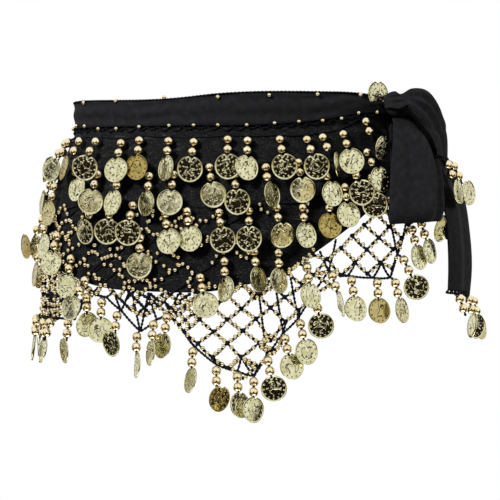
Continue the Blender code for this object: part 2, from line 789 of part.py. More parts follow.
def main():
    clear_scene()
    collection = bpy.data.collections.new("coin_hip_scarf")
    bpy.context.scene.collection.children.link(collection)
    materials = {
        "velvet": finish("crushed velvet", (0.012, 0.012, 0.013), 0.75, 0.0),
        "chiffon": finish("chiffon", (0.02, 0.02, 0.022), 0.85, 0.0),
        "cord": finish("crochet cord", (0.01, 0.01, 0.01), 0.8, 0.0),
        "gold": finish("pale gold plate", (0.7, 0.6, 0.32), 0.25, 1.0),
    }
    make_waistband(materials["chiffon"], collection)
    make_panel(materials["velvet"], collection)
    make_rows_and_net(materials, collection)
    make_knot(materials["chiffon"], collection)
    make_strip("loop", LOOP, LOOP_RIPPLE, materials["chiffon"], collection)
    make_strip("short_tail", SHORT_TAIL, TAIL_RIPPLE, materials["chiffon"], collection)
    make_strip("long_tail", LONG_TAIL, TAIL_RIPPLE, materials["chiffon"], collection)
    make_tail_fringe("short_tail_fringe", SHORT_TAIL, SHORT_TAIL_DROPS, materials["gold"], collection)
    make_tail_fringe("long_tail_fringe", LONG_TAIL, LONG_TAIL_DROPS, materials["gold"], collection)
    make_coin_beside_knot(materials["gold"], collection)


main()
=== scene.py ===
"""Looks of the coin hip scarf: crushed velvet, chiffon, crochet, beads and stamped coins.

Sizes are in millimetres and become metres where a point is made. The ring of cloth, its edges,
the creases, the net and the hanging of the drops repeat the solids' own sizes.
"""

import math
import random

import bmesh
import bpy
import numpy as np
from mathutils import Matrix, Vector


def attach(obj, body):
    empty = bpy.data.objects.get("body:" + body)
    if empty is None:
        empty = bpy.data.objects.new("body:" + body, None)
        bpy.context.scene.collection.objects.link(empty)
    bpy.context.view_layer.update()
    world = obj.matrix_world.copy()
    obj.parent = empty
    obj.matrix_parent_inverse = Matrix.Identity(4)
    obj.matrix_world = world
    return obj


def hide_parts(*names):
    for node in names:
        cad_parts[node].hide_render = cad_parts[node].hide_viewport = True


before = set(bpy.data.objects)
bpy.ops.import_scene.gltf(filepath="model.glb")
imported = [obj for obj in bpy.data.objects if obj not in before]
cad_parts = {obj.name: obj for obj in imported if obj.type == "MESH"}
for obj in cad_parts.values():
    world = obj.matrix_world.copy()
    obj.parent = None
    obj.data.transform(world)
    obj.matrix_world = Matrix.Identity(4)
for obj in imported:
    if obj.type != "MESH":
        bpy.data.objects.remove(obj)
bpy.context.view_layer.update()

MM = 0.001
UP = Vector((0.0, 0.0, 1.0))

# The worn ring: half its width and depth at the waist, and what it swells by at the hips
WAIST_HALF_WIDTH = 149.0
WAIST_HALF_DEPTH = 105.0
SWELL_WIDTH = 29.0
SWELL_DEPTH = 17.0
FLARE_TOP = -12.0
FLARE_FALL = 140.0
FLARE_POWER = 2.2
TAPE_HEIGHT = -83.0
TAPE_STEPS = 4001

# Places along the scarf run from the front middle, and are positive towards the bow
KNOT_ALONG = 144.0
COLUMNS = 56
SEAM = 0.3

# Edges of the cloth, from its far end behind the knot round the back and left side to its near end
#             along, height
BAND_TOP = ((-776, 12), (-700, 14), (-316, 12), (-200, 13), (-66, 12), (-30, 15), (60, 17),
            (117, 16), (135, 14), (144, 12))
BAND_FOOT = ((-776, 0), (-740, -6), (-680, -10), (-200, -10), (-57, -11), (25, -10), (71, -6),
             (109, 0), (130, 1), (144, 1))
HEM = ((-776, -46), (-740, -52), (-700, -62), (-560, -66), (-420, -66), (-370, -72), (-330, -86),
       (-300, -102), (-270, -113), (-240, -118), (-205, -117), (-174, -127), (-147, -139),
       (-122, -145), (-80, -148), (-24, -147), (0, -142), (32, -129), (71, -104), (102, -82),
       (121, -68), (136, -54), (146, -46), (160, -46), (180, -52))

# How far the band's outer face stands from the hips' own surface, and the tie's thickness
BAND_OUT = 1.0
BOW_WALL = 1.5

# A crease fades towards its ends as part of a half wave: where it starts, and how much it runs over
FADE_START = 0.12
FADE_RUN = 0.76

# Largest creases of the panel, each a soft ridge or trough along a straight line
#         along, height, to along, to height, half width, rise
CREASES = (
    (128, -8, 72, -26, 11, 1.5),
    (126, -24, 80, -44, 10, -1.2),
    (56, -32, -24, -40, 12, 1.0),
    (40, -96, -30, -104, 13, 1.4),
    (-40, -70, -112, -60, 12, -1.3),
    (-60, -104, -140, -96, 13, 1.5),
    (-150, -64, -200, -74, 12, -1.2),
    (-190, -98, -250, -88, 13, 1.3),
    (-236, -40, -290, -46, 12, 1.0),
    (-262, -92, -330, -66, 13, 1.4),
    (-360, -34, -420, -50, 11, 1.2),
    (-440, -52, -505, -38, 11, -1.2),
    (-520, -32, -580, -52, 11, 1.4),
    (-590, -50, -655, -40, 11, -1.2),
    (-668, -28, -735, -46, 11, 1.3),
)

# One drop: two beads and a coin under a chain
BEAD_RADIUS = 4.0
COIN_FALL = 26.8
COIN_RADIUS = 10.75
COIN_WALL = 1.2
COIN_SIDES = 10
COIN_TOP_ANGLE = 10.0
BEAD_OUT = 4.7
COIN_OUT = 5.2
STAND_STEP = 0.75
STAND_TRIES = 24
CLEARANCE = 0.5
#             share of the sway, fall, share of the coin's stand
UPPER_BEAD = (0.15, 4.3, 0.1)
BETWEEN_BEADS = (0.3, 8.4, 0.3)
LOWER_BEAD = (0.42, 12.5, 0.5)

# Chain that the drops are worked into
CHAIN_RISE = 1.0
CHAIN_DEPTH = 1.4
CHAIN_GAP = 0.4
CHAIN_SAG = 0.6
BORDER_BASE = 1.2
TAIL_SEAM = 0.9

# Drops on the cloth that shows: the coin hangs aside by sway and is turned from the cloth
#         along, height of root, sway, turn
ROW_1 = (
    (-286, -18, 3, -12), (-257, -18, -4, 20), (-228, -18, 3, -8), (-202, -18, 2, 26),
    (-175, -18, 2, -15), (-150, -19, 10, 42), (-120, -21, 8, 4), (-102, -19, 8, -7),
    (-73, -20, 6, -37), (-49, -21, 0, 13), (-19, -19, 2, 2), (-1, -20, -1, 28),
    (27, -19, 2, -6), (51, -19, 4, -14), (66, -17, 3, 54), (87, -14, -1, -10), (112, -3, 2, 26),
)
ROW_2 = (
    (-290, -47, 4, 10), (-260, -47, 3, -18), (-230, -46, 4, 9), (-198, -56, 10, 10),
    (-170, -36, 14, -3), (-136, -47, 4, 32), (-113, -48, 5, -17), (-85, -49, 5, -31),
    (-63, -48, 0, 13), (-34, -42, 6, -1), (-12, -48, 3, 4), (14, -42, 2, 46),
    (42, -38, 1, 1), (64, -41, 1, 19), (90, -40, -1, -8), (106, -29, 1, 7),
)
ROW_3 = (
    (-278, -80, -3, 16), (-252, -84, 4, -10), (-228, -84, 2, 22), (-202, -84, 8, 7),
    (-137, -72, 2, -10), (-116, -72, 3, 30), (-96, -73, 3, 27), (-68, -80, 6, -10),
    (-50, -78, 5, -15), (-24, -79, 4, 5), (0, -78, 0, 2), (22, -75, 2, 20),
    (43, -75, 0, 28), (65, -67, -1, 10), (80, -58, 0, 6), (106, -50, -4, -26),
)
ROW_4 = (
    (-250, -110, -3, -16), (-222, -108, 3, 8), (-173, -98, 0, 20),
    (-152, -117, -2, 11), (-135, -135, 1, -4), (-87, -100, 2, 15), (-38, -132, 5, 2),
    (-19, -119, 2, -49), (4, -111, 2, 49), (23, -112, -1, 42), (45, -124, -1, 28),
)
NET_EDGE = (
    (-312, -100, -3, -10), (-296, -120, 0, 10), (-277, -142, 3, -14), (-256, -160, -2, 20),
    (-234, -169, 3, 10), (-212, -171, 3, -12), (-190, -172, 4, -8), (-177, -171, 4, -30),
    (-154, -171, 4, -25), (-134, -149, 3, 8), (-119, -153, 3, 25), (-105, -164, 5, -22),
    (-88, -181, 5, -57), (-74, -171, 2, -51), (-63, -165, -1, -32), (-43, -193, 1, -53),
    (-25, -208, 2, 43), (-9, -213, 2, 43), (4, -217, -1, 35), (14, -200, 5, -5),
    (27, -182, 5, 17), (39, -170, 4, 20), (51, -149, 3, -12), (64, -131, 3, 56),
    (80, -135, 0, 11), (102, -137, 1, 4), (118, -137, 2, 25), (126, -118, 4, -34),
    (138, -93, 1, 11), (149, -88, 3, 12), (160, -70, 2, 9), (171, -68, 2, 10),
)

# Hidden back, where the cloth is shallow: two rows, spaced evenly
BACK_ROWS = {"row_1": -18.0, "row_2": -45.0}
BACK_START = -668.0
BACK_STOP = -312.0
BACK_SPACING = 27.0
BACK_TURN = 28.0
BACK_SWAY = 3.0
SEED = 11

# Net of diamonds under the hem
NET_HALF_WIDE = 11.5
NET_HALF_HIGH = 9.5
NET_SEAM = 0.5
NET_END = 176.0
NET_NOTCH = -134.0
NET_TOP = -62.0
NET_EDGE_CORD = 1.4
NET_REACH = 8.0
NET_OVER_EDGE = 0.55
NET_UNDER_HEM = 0.6
MEND_ROUNDS = 4

# Tie: the knot and the strips that leave it, by angle round the ring in degrees
KNOT_ALONG_HALF = 9.5
KNOT_HALF_HEIGHT = 9.0
KNOT_HALF_OUT = 9.0
KNOT_HEIGHT = 6.0
#      angle, height, out of the left edge; the same of the right edge; share of the ripple
LOOP = (
    (48.5, -3.8, 11.5, 54.0, -3.4, 11.5, 0.0),
    (46.8, -12, 17, 59.5, -8, 17, 0.6),
    (43.0, -28, 21, 63.2, -22, 20.5, 1.0),
    (39.5, -50, 23, 62.0, -46, 23, 1.0),
    (37.5, -68, 24.5, 58.5, -66, 25, 1.0),
    (36.0, -84, 25.5, 56.0, -81, 26, 0.7),
    (36.6, -93, 21.5, 55.0, -90, 21.5, 0.3),
    (37.5, -85, 16.5, 55.0, -82, 16.5, 0.0),
    (40.0, -60, 15.0, 58.0, -56, 15.0, 0.0),
    (44.0, -28, 13.0, 59.5, -22, 13.0, 0.0),
    (47.5, -9, 11.0, 54.5, -8, 11.0, 0.0),
)
SHORT_TAIL = (
    (50.4, 7.5, 24.3, 50.8, 16.5, 15.3, 0.0),
    (52.3, 3, 25.4, 55.5, 21.5, 17.0, 0.4),
    (54.8, -4, 26.4, 62.0, 21, 19.5, 1.0),
    (57.0, -10, 27.0, 68.0, 14, 21.0, 1.0),
    (58.4, -17, 27.3, 73.0, 3, 22.0, 1.0),
    (59.2, -24, 27.2, 76.5, -11, 22.5, 1.0),
    (59.6, -35, 26.0, 74.5, -38, 15.0, 0.6),
)
LONG_TAIL = (
    (56.5, -7, 2.9, 58.5, 7, 2.9, 0.0),
    (57.5, -17, 6.0, 66.0, 1, 5.0, 0.4),
    (59.5, -33, 11.0, 76.0, -11, 9.5, 1.0),
    (61.0, -56, 14.0, 85.0, -32, 13.5, 1.0),
    (62.0, -85, 15.0, 88.5, -62, 16.5, 1.0),
    (61.7, -105, 14.5, 88.5, -96, 15.5, 1.0),
    (61.5, -130, 13.5, 88.5, -126, 14.5, 1.0),
    (61.5, -148, 12.5, 88.0, -152, 12.5, 0.6),
)

# Drops of the tails' ends: angle, sway, turn
SHORT_TAIL_DROPS = ((65.0, 0, 6), (69.2, 0, -6))
LONG_TAIL_DROPS = ((66.0, 1, 45), (75.0, 1, -25), (86.0, 1, -30))

COIN_BESIDE_KNOT = (129.8, 16.5)

# Shells of cloth that stand for the solids: how many points across and down, how thick, and the
# shape of their edges and folds
PANEL_ACROSS = 360
PANEL_DOWN = 60
PANEL_SHELL = 0.7
PANEL_HEM_FOLD = 0.5
PANEL_HEM_DEEP = 2.2
PANEL_UNDER = 2.0
PANEL_TUCK = 0.3
PANEL_SEAM_EASE = 6.0
BAND_ACROSS = 300
BAND_DOWN = 16
BAND_SHELL = 0.8
BAND_SOFT = 0.9
BOW_ACROSS = 41
BOW_ALONG = 9
BOW_SHELL = 0.7
SOFTEN_ROUNDS = 3
KNOT_TURNS = 56
KNOT_RINGS = 36
#             depth, beat over the height, lean with the side
KNOT_TURN = (0.09, 7.0, 0.5)
KNOT_CREASE = (0.16, 6.5, 0.9)

# Smaller creases of the panel, pressed in beside the largest ones
#         along, height, to along, to height, half width, rise
SMALL_CREASES = (
    (122, -6, 60, -14, 4.0, -0.8), (124, -12, 58, -28, 4.5, 0.8), (120, -30, 70, -62, 5.0, -0.9),
    (112, -44, 62, -84, 4.5, 0.7), (64, -20, 10, -24, 4.0, -0.7), (48, -44, -20, -52, 5.0, -0.8),
    (30, -60, -44, -64, 4.5, 0.8), (50, -76, 0, -84, 4.0, -0.7), (16, -92, -52, -90, 4.0, -0.8),
    (20, -116, -40, -122, 4.5, 0.7), (-10, -132, -70, -134, 4.0, -0.6), (-30, -30, -84, -26, 4.0, 0.7),
    (-56, -50, -118, -48, 4.5, -0.8), (-50, -86, -104, -82, 4.5, 0.8), (-74, -116, -128, -122, 4.5, -0.8),
    (-96, -34, -150, -40, 4.0, 0.7), (-118, -74, -176, -82, 4.5, -0.8), (-130, -110, -176, -106, 4.0, 0.7),
    (-160, -26, -214, -32, 4.0, -0.7), (-168, -50, -224, -54, 4.5, 0.8), (-186, -84, -236, -72, 4.5, -0.8),
    (-214, -104, -262, -100, 4.0, 0.7), (-244, -28, -300, -34, 4.0, -0.7), (-250, -66, -312, -58, 4.5, 0.8),
    (-330, -24, -384, -30, 4.0, -0.7), (-346, -50, -404, -46, 4.5, 0.8), (-410, -34, -462, -40, 4.0, -0.8),
    (-470, -56, -530, -50, 4.5, 0.7), (-544, -26, -598, -22, 4.0, -0.7), (-604, -50, -660, -56, 4.5, 0.8),
    (-676, -40, -730, -30, 4.0, -0.8),
)

# Crush of the nap: short wrinkles that run the way the cloth was pressed
CRUSH_COUNT = 620
CRUSH_LONG = (8.0, 22.0)
CRUSH_WIDE = (0.9, 1.9)
CRUSH_DEEP = (0.08, 0.26)
CRUSH_TURN = 22.0
# Where the knot starts to pull them, over what length, and how far they turn to it
PULL_FROM = 30.0
PULL_OVER = 90.0
PULL_TURN = -28.0

# Folds along the band, from its top edge down: share of the height, half width as a share, rise
BAND_FOLDS = ((0.06, 0.05, 0.7), (0.24, 0.1, -0.5), (0.45, 0.14, 0.6), (0.7, 0.1, -0.4), (0.93, 0.06, 0.5))
# Waves that those folds wander by: share of the height, length over a full turn's radians, start
FOLD_WAVES = ((0.05, 23.0, 0.0), (0.04, 9.0, 1.3))
# Creases of the band, as those of the panel
BAND_CREASES = (
    (140, 9, 84, 13, 2.6, 1.0), (140, 6, 92, 4, 2.6, 0.9), (138, 12, 100, 9, 1.8, -0.9),
    (120, 3, 60, -2, 2.4, -0.7), (60, 10, 6, 6, 2.6, 0.6), (30, -2, -30, -4, 2.4, -0.6),
    (-20, 8, -84, 3, 2.8, 0.7), (-70, -3, -130, -5, 2.4, -0.6), (-110, 7, -166, 4, 2.8, 0.6),
    (-150, -2, -206, -4, 2.4, -0.6), (-190, 7, -252, 4, 2.8, 0.6), (-240, -3, -300, 0, 2.4, -0.6),
    (-296, 6, -352, 3, 2.8, 0.6), (-350, -3, -410, -4, 2.4, -0.6), (-400, 7, -470, 4, 2.8, 0.6),
    (-460, -3, -520, 0, 2.4, -0.6), (-520, 6, -586, 3, 2.8, 0.6), (-580, -4, -640, -2, 2.4, -0.6),
    (-640, 7, -700, 3, 2.8, 0.7), (-700, -2, -756, 4, 2.6, -0.8),
)

# The short tail where it comes round the knot: left angle, height, out, right angle, height, out, folds
OVER_KNOT = (
    (46.2, 4.5, 8.0, 46.0, 12.0, 7.5, 0.0),
    (45.8, 4.5, 15.0, 46.4, 16.5, 11.0, 0.4),
    (47.6, 3.5, 22.6, 48.4, 18.5, 14.0, 0.9),
)

# Folds across the strips of the tie: share across, rise
LOOP_FOLDS = ((0.0, -2.0), (0.1, 0.4), (0.2, 0.6), (0.32, -1.8), (0.44, 0.8), (0.56, 3.2), (0.66, 4.6),
              (0.73, 4.2), (0.79, -1.6), (0.86, -2.6), (0.94, 0.6), (1.0, -1.5))
SHORT_TAIL_FOLDS = ((0.0, 0.0), (0.1, 2.0), (0.22, 2.4), (0.32, -1.4), (0.42, 0.4), (0.54, 3.2), (0.64, -0.6),
                    (0.74, 0.8), (0.86, 2.6), (1.0, 0.0))
LONG_TAIL_FOLDS = ((0.0, 0.0), (0.12, 1.2), (0.3, 2.0), (0.42, -0.6), (0.55, -1.9), (0.66, 0.2), (0.8, 1.7),
                   (0.9, 0.4), (1.0, 0.0))

# Beads and coins
BEAD_TURNS = 16
BEAD_FLAT = 0.98
BEAD_RINGS = 9
SEED_RADIUS = 1.95
SEED_TURNS = 8
SEED_FLAT = 0.9
SEED_RINGS = 6
COIN_TURNS = 28
NOTCH_DEEP = 2.6
RIM_RISE = 0.28
HAMMER = 0.05
RIM_FROM = 0.85
COIN_UNDER = 0.99
COIN_BACK = 0.6
DOTS = 13.0
DOT_RING = 0.79
#         bend across the coin, direction of the bend in degrees
COIN_BENDS = ((0.55, 20.0), (0.25, 75.0), (-0.35, 130.0), (0.8, 160.0))
#         share of the radius, rise of the face there
COIN_RINGS = ((0.3, 0.0), (0.6, 0.0), (0.84, 0.0), (0.93, 0.0), (0.95, 1.0), (0.985, 1.0))

# How far a coin's face is tipped up or down, and how many are tipped up
TIPPED_UP = (0.05, 0.22)
TIPPED_DOWN = (-0.18, -0.04)
SHARE_UP = 0.74
# Share of a turned coin's edge that it moves out by
EDGE_LIFT = 0.8

# Coins that hang turned to the front and so mirror the dark: place along the row, way each faces.
# A drop this near to the place is meant, and its share of gold keeps to the paler part
AHEAD_REACH = 1.5
AHEAD_PALER = 0.8
AHEAD = {
    "row_1": ((-150, (-0.02, -1, -0.1)), (-49, (0, -1, -0.08)),
              (-19, (-0.04, -1, -0.06)), (27, (0.03, -1, -0.1)), (51, (0.03, -1, -0.12))),
    "row_2": ((-136, (-0.13, -1, -0.05)), (-63, (-0.05, -1, 0.06)), (-34, (-0.13, -1, -0.05)),
              (-12, (0.02, -1, -0.08)), (90, (0.02, -1, -0.14))),
    "row_3": ((-116, (-0.02, -1, -0.08)), (-96, (0.02, -1, -0.1)), (-24, (0, -1, -0.07)),
              (0, (0.03, -1, -0.09)), (106, (0.04, -1, -0.1))),
    "row_4": ((-87, (-0.12, -1, -0.04)), (-38, (-0.1, -1, 0.08)),),
    "net_fringe": ((-119, (-0.1, -1, 0.08)), (14, (0, -1, -0.09)), (51, (0.03, -1, -0.08)),
                   (126, (0.05, -1, -0.07))),
}

# Seed beads along the band's two edges: along, height
BAND_TOP_SEEDS = ((-182, 11), (-134, 11), (-81, 12.5), (-29, 12), (19, 13.5), (65, 14.5), (109, 15))
BAND_FOOT_SEEDS = (
    (-201, -8), (-180, -9), (-157, -12), (-133, -12.5), (-107, -11.5), (-76, -11), (-52, -11), (-29, -11),
    (-2, -11), (24, -9.5), (47, -8), (70, -7), (89, -5), (107, 0), (128, 1),
)
BAND_SEED_OUT = 2.6
BACK_SEEDS_FROM = -744.0
BACK_SEEDS_TO = -215.0
TOP_SEED_SPACING = 50.0
FOOT_SEED_SPACING = 25.0

# Crochet: cords, stitches and the seed beads worked into them
NET_CORD = 1.0
NET_STRAND = 0.75
NET_STRAY = 0.9
EDGE_CORD = 0.9
FINE_CORD = 0.8
LOW_CORD = 1.7
LINK_CORD = 1.3
STITCH = 3.2
KNOT_SIZE = 2.1
NET_BEADS = (0.32, 0.66)
MORE_BEADS = (0.22, 0.5, 0.78)
NET_CORD_OUT = -0.7
NET_BEAD_OUT = 0.5
LINK_REACH = 17.0
LINK_ASIDE = 7.0
LINK_LONGEST = 60.0
LINK_LIFT = 1.2
LINK_RISE_COST = 0.3
LINK_UNDER_HEM = 1.0
BORDER_LIFT = 1.0
NET_SLACK = (-0.4, 1.0)
ROOM_FOR_SEEDS = 3.6
SHARE_MORE_BEADS = 0.4
SEED_STRAY = 0.5
LUMP_TURNS = 7
LUMP_RINGS = 5

# How far a row's chain and the border's run on past their last drops
ROW_MARGIN = 4.0
BORDER_MARGIN = 2.0

# Loops that finish a tail's cut edge, and how far each leans, in degrees round the hips
TAIL_END_LOOPS = 20
TAIL_END_LEAN = 1.2
TAIL_CHAIN_DROP = 2.0
TAIL_END_OVERLAP = 0.5

# Scallops of crochet under the band: length and least and most sag
SCALLOP = 12.0
SCALLOP_SAG = (2.2, 4.2)
SCALLOP_OUT = 1.4
SCALLOP_DROP = 0.6
SCALLOP_MARGIN = 4.0

# Edging along the band's two edges: how far out, its stitches' step and its margin at the knot
EDGING_OUT = 1.1
EDGING_STEP = 5.0
EDGING_MARGIN = 2.0

# Beaded net that lies over the panel's lower left: left and right end, top, and where it thins out
OVER_LEFT = -316.0
OVER_RIGHT = 66.0
OVER_TOP = -84.0
OVER_THIN_FROM = -70.0
OVER_THIN_TO = 40.0
OVER_LEAST = 0.16
OVER_CORD_OUT = 0.7
OVER_BEAD_OUT = 1.8
OVER_BEADS = (0.2, 0.5, 0.8)
OVER_STRAY = 2.6
OVER_SEED_STRAY = 1.9
OVER_BEADED = 0.88
OVER_ROWS = 24
OVER_OVER_EDGE = 0.3

# Where the low net hangs bunched, with more crochet across its cells: left and right end
BUNCHED_FROM = -200.0
BUNCHED_TO = -40.0
BUNCHED_BEADS = (0.3, 0.7)
BUNCHED_BEADED = 0.45

# Camera at the photograph's own angle, 2.2 m away and level
CAMERA_AT = (1.0, -2200.0, -114.0)
CAMERA_LENS = 183.1
FLOOR_LEVEL = -3400.0
FLOOR_RADIUS = 2500.0

# Softboxes in metres: name, place, size, power; all are aimed at one point
LIGHT_AIM = (0.0, 0.0, -0.1)
SOFTBOXES = (("key", (-1.4, -1.8, 1.2), 0.5, 330.0), ("side", (2.0, 0.1, 0.35), 0.4, 120.0),
             ("back", (-0.8, 1.9, 1.2), 0.8, 200.0))


def half_sizes(height):
    """Half width and half depth of the ring of cloth at a height."""
    fall = min(max((FLARE_TOP - height) / FLARE_FALL, 0.0), 1.0)
    swell = 1.0 - (1.0 - fall) ** FLARE_POWER
    return WAIST_HALF_WIDTH + SWELL_WIDTH * swell, WAIST_HALF_DEPTH + SWELL_DEPTH * swell


def tape():
    """Angles round the ring and the distance along it that each stands for."""
    width, depth = half_sizes(TAPE_HEIGHT)
    angles = np.linspace(-2 * math.pi, 2 * math.pi, TAPE_STEPS)
    middles = (angles[1:] + angles[:-1]) / 2
    steps = np.hypot(width * np.cos(middles), depth * np.sin(middles)) * np.diff(angles)
    lengths = np.concatenate(([0.0], np.cumsum(steps)))
    return angles, lengths - lengths[len(lengths) // 2]


TAPE_ANGLES, TAPE_LENGTHS = tape()
RING = 2 * float(np.interp(math.pi, TAPE_ANGLES, TAPE_LENGTHS))
MIDDLE = KNOT_ALONG - RING / 2
CLOTH_ENDS = (KNOT_ALONG - RING + SEAM, KNOT_ALONG - SEAM)


def angle_at(along):
    return float(np.interp(along, TAPE_LENGTHS, TAPE_ANGLES))


def along_at(degrees):
    return float(np.interp(math.radians(degrees), TAPE_ANGLES, TAPE_LENGTHS))


def by_angle(degrees, height, out):
    """A point in metres, out from the ring of cloth, at an angle from the front middle."""
    width, depth = half_sizes(height)
    turn = math.radians(degrees)
    return Vector(((width + out) * math.sin(turn) * MM, -(depth + out) * math.cos(turn) * MM, height * MM))


def on_hips(along, height, out):
    """A point in metres, out from the ring of cloth, at a distance along it."""
    return by_angle(math.degrees(angle_at(along)), height, out)


def read(table, along):
    """Height of an edge, from a smooth curve through its table."""
    places = np.array([row[0] for row in table], dtype=float)
    heights = np.array([row[1] for row in table], dtype=float)
    slopes = np.gradient(heights, places)
    place = min(max(along, places[0]), places[-1])
    k = min(int(np.searchsorted(places, place, side="right")) - 1, len(places) - 2)
    run = places[k + 1] - places[k]
    s = (place - places[k]) / run
    ease = s * s * (3 - 2 * s)
    lift = run * (slopes[k] * s * (1 - s) ** 2 - slopes[k + 1] * s * s * (1 - s))
    return float(heights[k] * (1 - ease) + heights[k + 1] * ease + lift)


def straight(table, place):
    """A value from straight lines through the first two columns of a table."""
    return float(np.interp(place, [row[0] for row in table], [row[1] for row in table]))


def crease_out(along, height):
    """How far the panel's creases lift its outer face."""
    lift = 0.0
    for from_along, from_height, to_along, to_height, half_width, rise in CREASES:
        run = np.array((to_along - from_along, to_height - from_height), dtype=float)
        reach = np.array((along - from_along, height - from_height), dtype=float)
        share = min(max(float(reach @ run) / float(run @ run), 0.0), 1.0)
        away = float(np.hypot(*(reach - share * run))) / half_width
        fade = math.sin(math.pi * (FADE_START + FADE_RUN * share))
        lift += rise * fade * math.exp(-away * away)
    return lift


def chord_lift(along, run):
    """How far a straight run of chain must stand out to clear the round cloth under it."""
    width, depth = half_sizes(TAPE_HEIGHT)
    turn = angle_at(along)
    radius = math.hypot(width * math.cos(turn), depth * math.sin(turn)) ** 3 / (width * depth)
    return run * run / (8 * radius)


class Drop:
    """Two beads and a coin, hung from a root at a place on the cloth or on a tail."""

    def __init__(self, along, height, sway, turn, base=0.0):
        self.along = along
        self.height = height
        self.sway = sway
        self.turn = math.radians(turn)
        self.base = base
        self.least = base + COIN_OUT + COIN_RADIUS * abs(math.sin(self.turn))
        self.settle(self.least)

    def settle(self, stand):
        """Places the beads and the coin with the coin's middle this far out."""
        extra = stand - self.base - COIN_OUT
        bead_out = self.base + BEAD_OUT
        self.upper, self.neck, self.lower = [self.at(share, fall, bead_out + part * extra)
                                             for share, fall, part in (UPPER_BEAD, BETWEEN_BEADS, LOWER_BEAD)]
        self.coin = self.at(1.0, COIN_FALL, stand)
        here = self.along + self.sway
        level = self.height - COIN_FALL
        aside = (on_hips(here + 1, level, stand) - on_hips(here - 1, level, stand)).normalized()
        self.up = (self.lower - self.coin).normalized()
        outward = aside.cross(self.up).normalized()
        face = outward * math.cos(self.turn) + aside * math.sin(self.turn)
        self.face = (face - self.up * face.dot(self.up)).normalized()
        self.across = self.up.cross(self.face)
        self.hook = self.coin + self.up * (COIN_RADIUS + 1.0) * MM

    def at(self, share, fall, out):
        return on_hips(self.along + share * self.sway, self.height - fall, out)

    def rim(self):
        """The coin's rim points, from just right of its top round to just left of it."""
        first = math.radians(COIN_TOP_ANGLE)
        step = (2 * math.pi - 2 * first) / (COIN_SIDES - 1)
        points = []
        for k in range(COIN_SIDES):
            turn = first + k * step
            reach = self.up * math.cos(turn) + self.across * math.sin(turn)
            points.append(self.coin + reach * COIN_RADIUS * MM)
        return points

    def clears(self, other):
        """Whether the two drops stay apart."""
        if (self.coin - other.coin).length > 3 * (COIN_RADIUS + COIN_FALL) * MM:
            return True
        reach = (2 * COIN_RADIUS + COIN_WALL) * MM
        if (self.coin - other.coin).length < reach:
            if not (self.beside(other) or other.beside(self)):
                return False
        for mine, hers in ((self, other), (other, self)):
            for bead in (hers.upper, hers.neck, hers.lower):
                if mine.coin_to(bead) < (BEAD_RADIUS + COIN_WALL / 2 + CLEARANCE) * MM:
                    return False
            if mine.coin_to(hers.hook) < 2 * COIN_WALL * MM:
                return False
        for bead in (self.upper, self.lower):
            for her_bead in (other.upper, other.lower):
                if (bead - her_bead).length < (2 * BEAD_RADIUS + CLEARANCE) * MM:
                    return False
        return True

    def beside(self, other):
        """Whether the other coin lies wholly on one side of this coin's plane."""
        gap = (COIN_WALL + CLEARANCE) * MM
        sides = [(point - self.coin).dot(self.face) for point in other.rim()]
        return min(sides) > gap or max(sides) < -gap

    def coin_to(self, point):
        """Distance from the coin's flat disc to a point."""
        reach = point - self.coin
        off = abs(reach.dot(self.face))
        aside = max((reach - self.face * reach.dot(self.face)).length - COIN_RADIUS * MM, 0.0)
        return math.hypot(off, aside)


def hang_all(rows, hung, base=0.0):
    """Hangs drops one by one, each as close to the cloth as those already hung allow."""
    new = []
    for along, height, sway, turn in rows:
        drop = Drop(along, height, sway, turn, base)
        for k in range(STAND_TRIES):
            drop.settle(drop.least + k * STAND_STEP)
            if all(drop.clears(other) for other in hung):
                break
        hung.append(drop)
        new.append(drop)
    return new


def across_back(height, chance):
    """Evenly spaced drops of one row on the hidden back."""
    count = int((BACK_STOP - BACK_START) / BACK_SPACING)
    rows = []
    for k in range(count):
        sway = chance.uniform(-BACK_SWAY, BACK_SWAY)
        rows.append((BACK_START + k * BACK_SPACING, height, sway, chance.uniform(-BACK_TURN, BACK_TURN)))
    return tuple(rows)


def net_cells(edge):
    """Diamonds between the hem and the net's edge, as steps from the scarf's middle."""
    nearest = int((NET_END - MIDDLE) / NET_HALF_WIDE)
    furthest = int((edge[0][0] - MIDDLE) / NET_HALF_WIDE) + 1
    deepest = min(row[1] for row in edge)
    cells = set()
    for across in range(furthest, nearest + 1):
        along = MIDDLE + across * NET_HALF_WIDE
        foot = straight(edge, along)
        top = min(read(HEM, along), NET_TOP)
        for down in range(int(-deepest / NET_HALF_HIGH) + 2):
            height = -down * NET_HALF_HIGH
            odd = (across + down) % 2 == 1
            if odd and foot + NET_OVER_EDGE * NET_HALF_HIGH < height < top - NET_UNDER_HEM * NET_HALF_HIGH:
                cells.add((across, down))
    return mend_pinches(cells)


def corners_of(cell):
    across, down = cell
    return ((across, down - 1), (across - 1, down), (across, down + 1), (across + 1, down))


def largest_body(cells):
    """The diamonds that hang together, without any that stand alone."""
    left = set(cells)
    largest = set()
    while left:
        start = min(left)
        left.remove(start)
        waiting = [start]
        body = {start}
        while waiting:
            across, down = waiting.pop()
            for step in ((1, 1), (1, -1), (-1, 1), (-1, -1)):
                beside = (across + step[0], down + step[1])
                if beside in left:
                    left.remove(beside)
                    body.add(beside)
                    waiting.append(beside)
        if len(body) > len(largest):
            largest = body
    return largest


def mend_pinches(cells):
    """Adds a diamond wherever two would meet in a single point."""
    cells = set(cells)
    for _ in range(MEND_ROUNDS):
        missing = set()
        for across, down in {corner for cell in cells for corner in corners_of(cell)}:
            above, below = (across, down - 1) in cells, (across, down + 1) in cells
            left, right = (across - 1, down) in cells, (across + 1, down) in cells
            if left and right and not above and not below:
                missing.add((across, down + 1))
            if above and below and not left and not right:
                missing.add((across - 1, down))
        if not missing:
            break
        cells |= missing
    return cells


